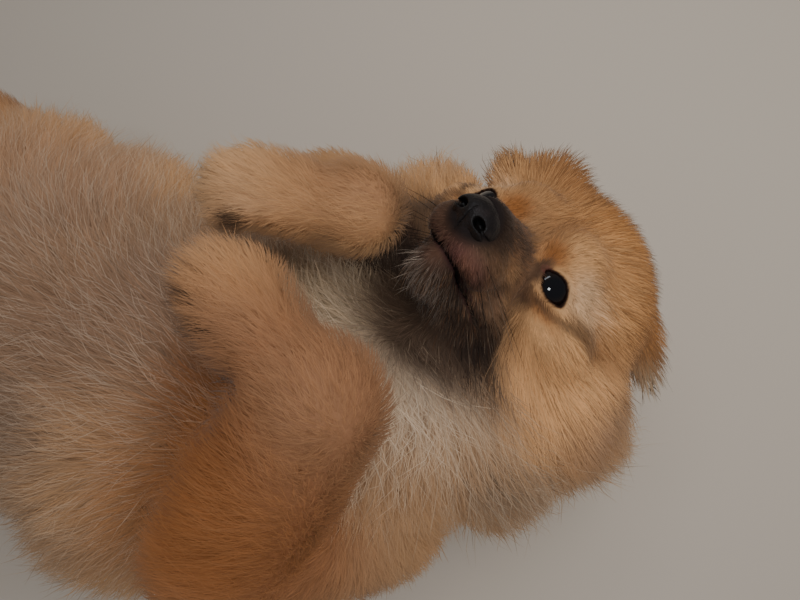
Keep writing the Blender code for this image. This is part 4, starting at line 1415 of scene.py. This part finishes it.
            # cut long lists along the body into pieces under the limit
            parts = max(1, math.ceil(len(idx) * per / 185000))
            key = P[idx, 0] if gname != "head" else head_local(P[idx])[:, 1]
            srt = idx[np.argsort(key)]
            for k, chunk in enumerate(np.array_split(srt, parts)):
                W = path(chunk, S_)
                flat_ = W.reshape(-1, 3)
                d = np.concatenate([skin(x) for x in np.array_split(flat_, max(1, len(flat_) // 60000))])
                inner = (d < 0.25) & (np.tile(np.arange(S_ + 1), len(chunk)) > 0)
                if inner.any():
                    pts = flat_[inner]
                    g_ = np.empty_like(pts)
                    d0 = d[inner]
                    for ax in range(3):
                        e = np.zeros(3)
                        e[ax] = 0.4
                        g_[:, ax] = skin(pts + e) - d0
                    g_ = unit(g_)
                    pts = pts + g_ * np.clip(0.35 - d0, 0, 5.0)[:, None]
                    flat_[inner] = pts
                W = flat_.reshape(W.shape)
                low = FLOOR + 0.35 + RNG.random(len(chunk))[:, None] * 1.2
                W[..., 2] = np.maximum(W[..., 2], low)
                name = "coat_%s_%d%s%s" % (gname, S_, "abcdefgh"[k], "_core" if dense else "")
                ob, tris = strands(name, W, side[chunk], width[chunk],
                                   root[chunk], tipc[chunk], unwrap(P[chunk], gname), coat_n=lit[chunk])
                print(ob.name, tris)
                # fine hair lets most light through, so only one in eight shades the rest
                ob.visible_shadow = dense
                total += tris
    print("coat triangles", total)


grow()

# ------------------------------------------------------------------ whiskers
def whiskers():
    r = np.random.default_rng(5)
    roots, dirs, lens, cols, nrm = [], [], [], [], []
    for side in (1, -1):
        for row in range(4):
            for k in range(5):
                f = 50 - 3.6 * k + r.uniform(-0.6, 0.6)
                u = -12.6 - 1.9 * row + r.uniform(-0.3, 0.3)
                roots.append((f, side * 1.0, u))
                d = np.array((0.15 - 0.16 * k, side * 1.0, -0.25 - 0.18 * row + r.uniform(-0.15, 0.15)))
                dirs.append(unit(d))
                lens.append(r.uniform(14, 28))
                cols.append(lin(34, 28, 26) if side < 0 or r.random() < 0.75 else lin(120, 104, 90))
    for k in range(30):
        f, l = r.uniform(32, 52), r.uniform(-8, 7)
        roots.append((f, l, -27.0))
        dirs.append(unit((0.35 + r.normal() * 0.3, l * 0.09 + r.normal() * 0.3, -1.0)))
        lens.append(r.uniform(4, 10))
        cols.append(lin(178, 164, 150) if k < 22 else lin(60, 50, 44))
    R = np.array(roots)
    D = np.array(dirs)
    # march outwards from the middle of the muzzle to its skin
    q = R.copy()
    q[:, 1] *= 0.5
    for _ in range(60):
        d = skin_head(q, True)
        q = q + D * np.clip(-d, 0, 2)[:, None] * 0.8
    q = q - D * 0.4
    L = np.array(lens)
    S = 5
    W = np.empty((len(q), S + 1, 3))
    droop = np.stack([-0.35 + r.normal(size=len(q)) * 0.1, r.normal(size=len(q)) * 0.15, -0.1 + r.normal(size=len(q)) * 0.12], 1)
    for j in range(S + 1):
        u = j / S
        W[:, j] = q + D * (L * u)[:, None] + droop * (L * u * u)[:, None] * 0.6
    world = HEAD + W @ HQ.T
    side = unit(np.cross(D, (0.2, 0.3, 0.9)) @ HQ.T)
    col = np.array(cols)
    n = len(q)
    uv = spread(np.arange(n) % 9 / 9.0, np.arange(n) // 9 / 9.0)
    ob, tris = strands("whiskers", world, side, np.where(np.arange(n) < 40, 0.17, 0.13), col, col * 1.1, uv, flat=0.9)
    ob.data.materials[0] = WHISKER


whiskers()

# ------------------------------------------------------------------ floor and light
fm, nt, b = new_material("studio_floor", 0.6, 0.2)
tex = node(nt, "ShaderNodeTexNoise")
tex.inputs["Scale"].default_value = 6
mr = node(nt, "ShaderNodeMixRGB")
mr.inputs["Color1"].default_value = (0.60, 0.54, 0.475, 1)
mr.inputs["Color2"].default_value = (0.64, 0.58, 0.515, 1)
nt.links.new(tex.outputs["Fac"], mr.inputs["Fac"])
nt.links.new(mr.outputs["Color"], b.inputs["Base Color"])
fme = bpy.data.meshes.new("studio_floor")
s = 2.5
fme.from_pydata([(-s, -s, -0.0005), (s, -s, -0.0005), (s, s, -0.0005), (-s, s, -0.0005)], [], [(0, 1, 2, 3)])
fme.materials.append(fm)
floor = bpy.data.objects.new("studio_floor", fme)
bpy.context.scene.collection.objects.link(floor)


def area(name, loc, target, size, power, colour, size_y=None, glossy=False):
    d = bpy.data.lights.new(name, "AREA")
    d.energy = power
    d.size = size
    d.color = colour
    if size_y:
        d.shape = "RECTANGLE"
        d.size_y = size_y
    o = bpy.data.objects.new(name, d)
    bpy.context.scene.collection.objects.link(o)
    o.location = loc
    o.rotation_mode = "QUATERNION"
    o.rotation_quaternion = (Vector(target) - Vector(loc)).to_track_quat("-Z", "Y")
    o.visible_glossy = glossy
    return o


area("key_light", (0.23, 0.21, 0.46), (0.09, 0.0, 0.06), 0.46, 1.32, (1.0, 0.945, 0.865))
area("fill_light", (-0.7, -0.55, 0.75), (0, 0, 0.04), 0.9, 0.24, (0.97, 0.96, 0.98))
area("side_light", (0.8, -0.5, 0.5), (0.08, 0, 0.05), 0.7, 0.92, (1.0, 0.93, 0.85))
area("catch_light", (0.064, -0.156, 0.653), (0.13, 0.04, 0.07), 0.09, 0.55, (0.92, 0.96, 1.0), glossy=True)
area("eye_window", (-0.12, 0.34, 0.50), (0.13, 0.04, 0.09), 0.26, 0.30, (0.88, 0.94, 1.0), size_y=0.09, glossy=True)
world = bpy.data.worlds.new("studio")
world.use_nodes = True
world.node_tree.nodes["Background"].inputs["Color"].default_value = (0.86, 0.82, 0.79, 1)
world.node_tree.nodes["Background"].inputs["Strength"].default_value = 0.16
bpy.context.scene.world = world
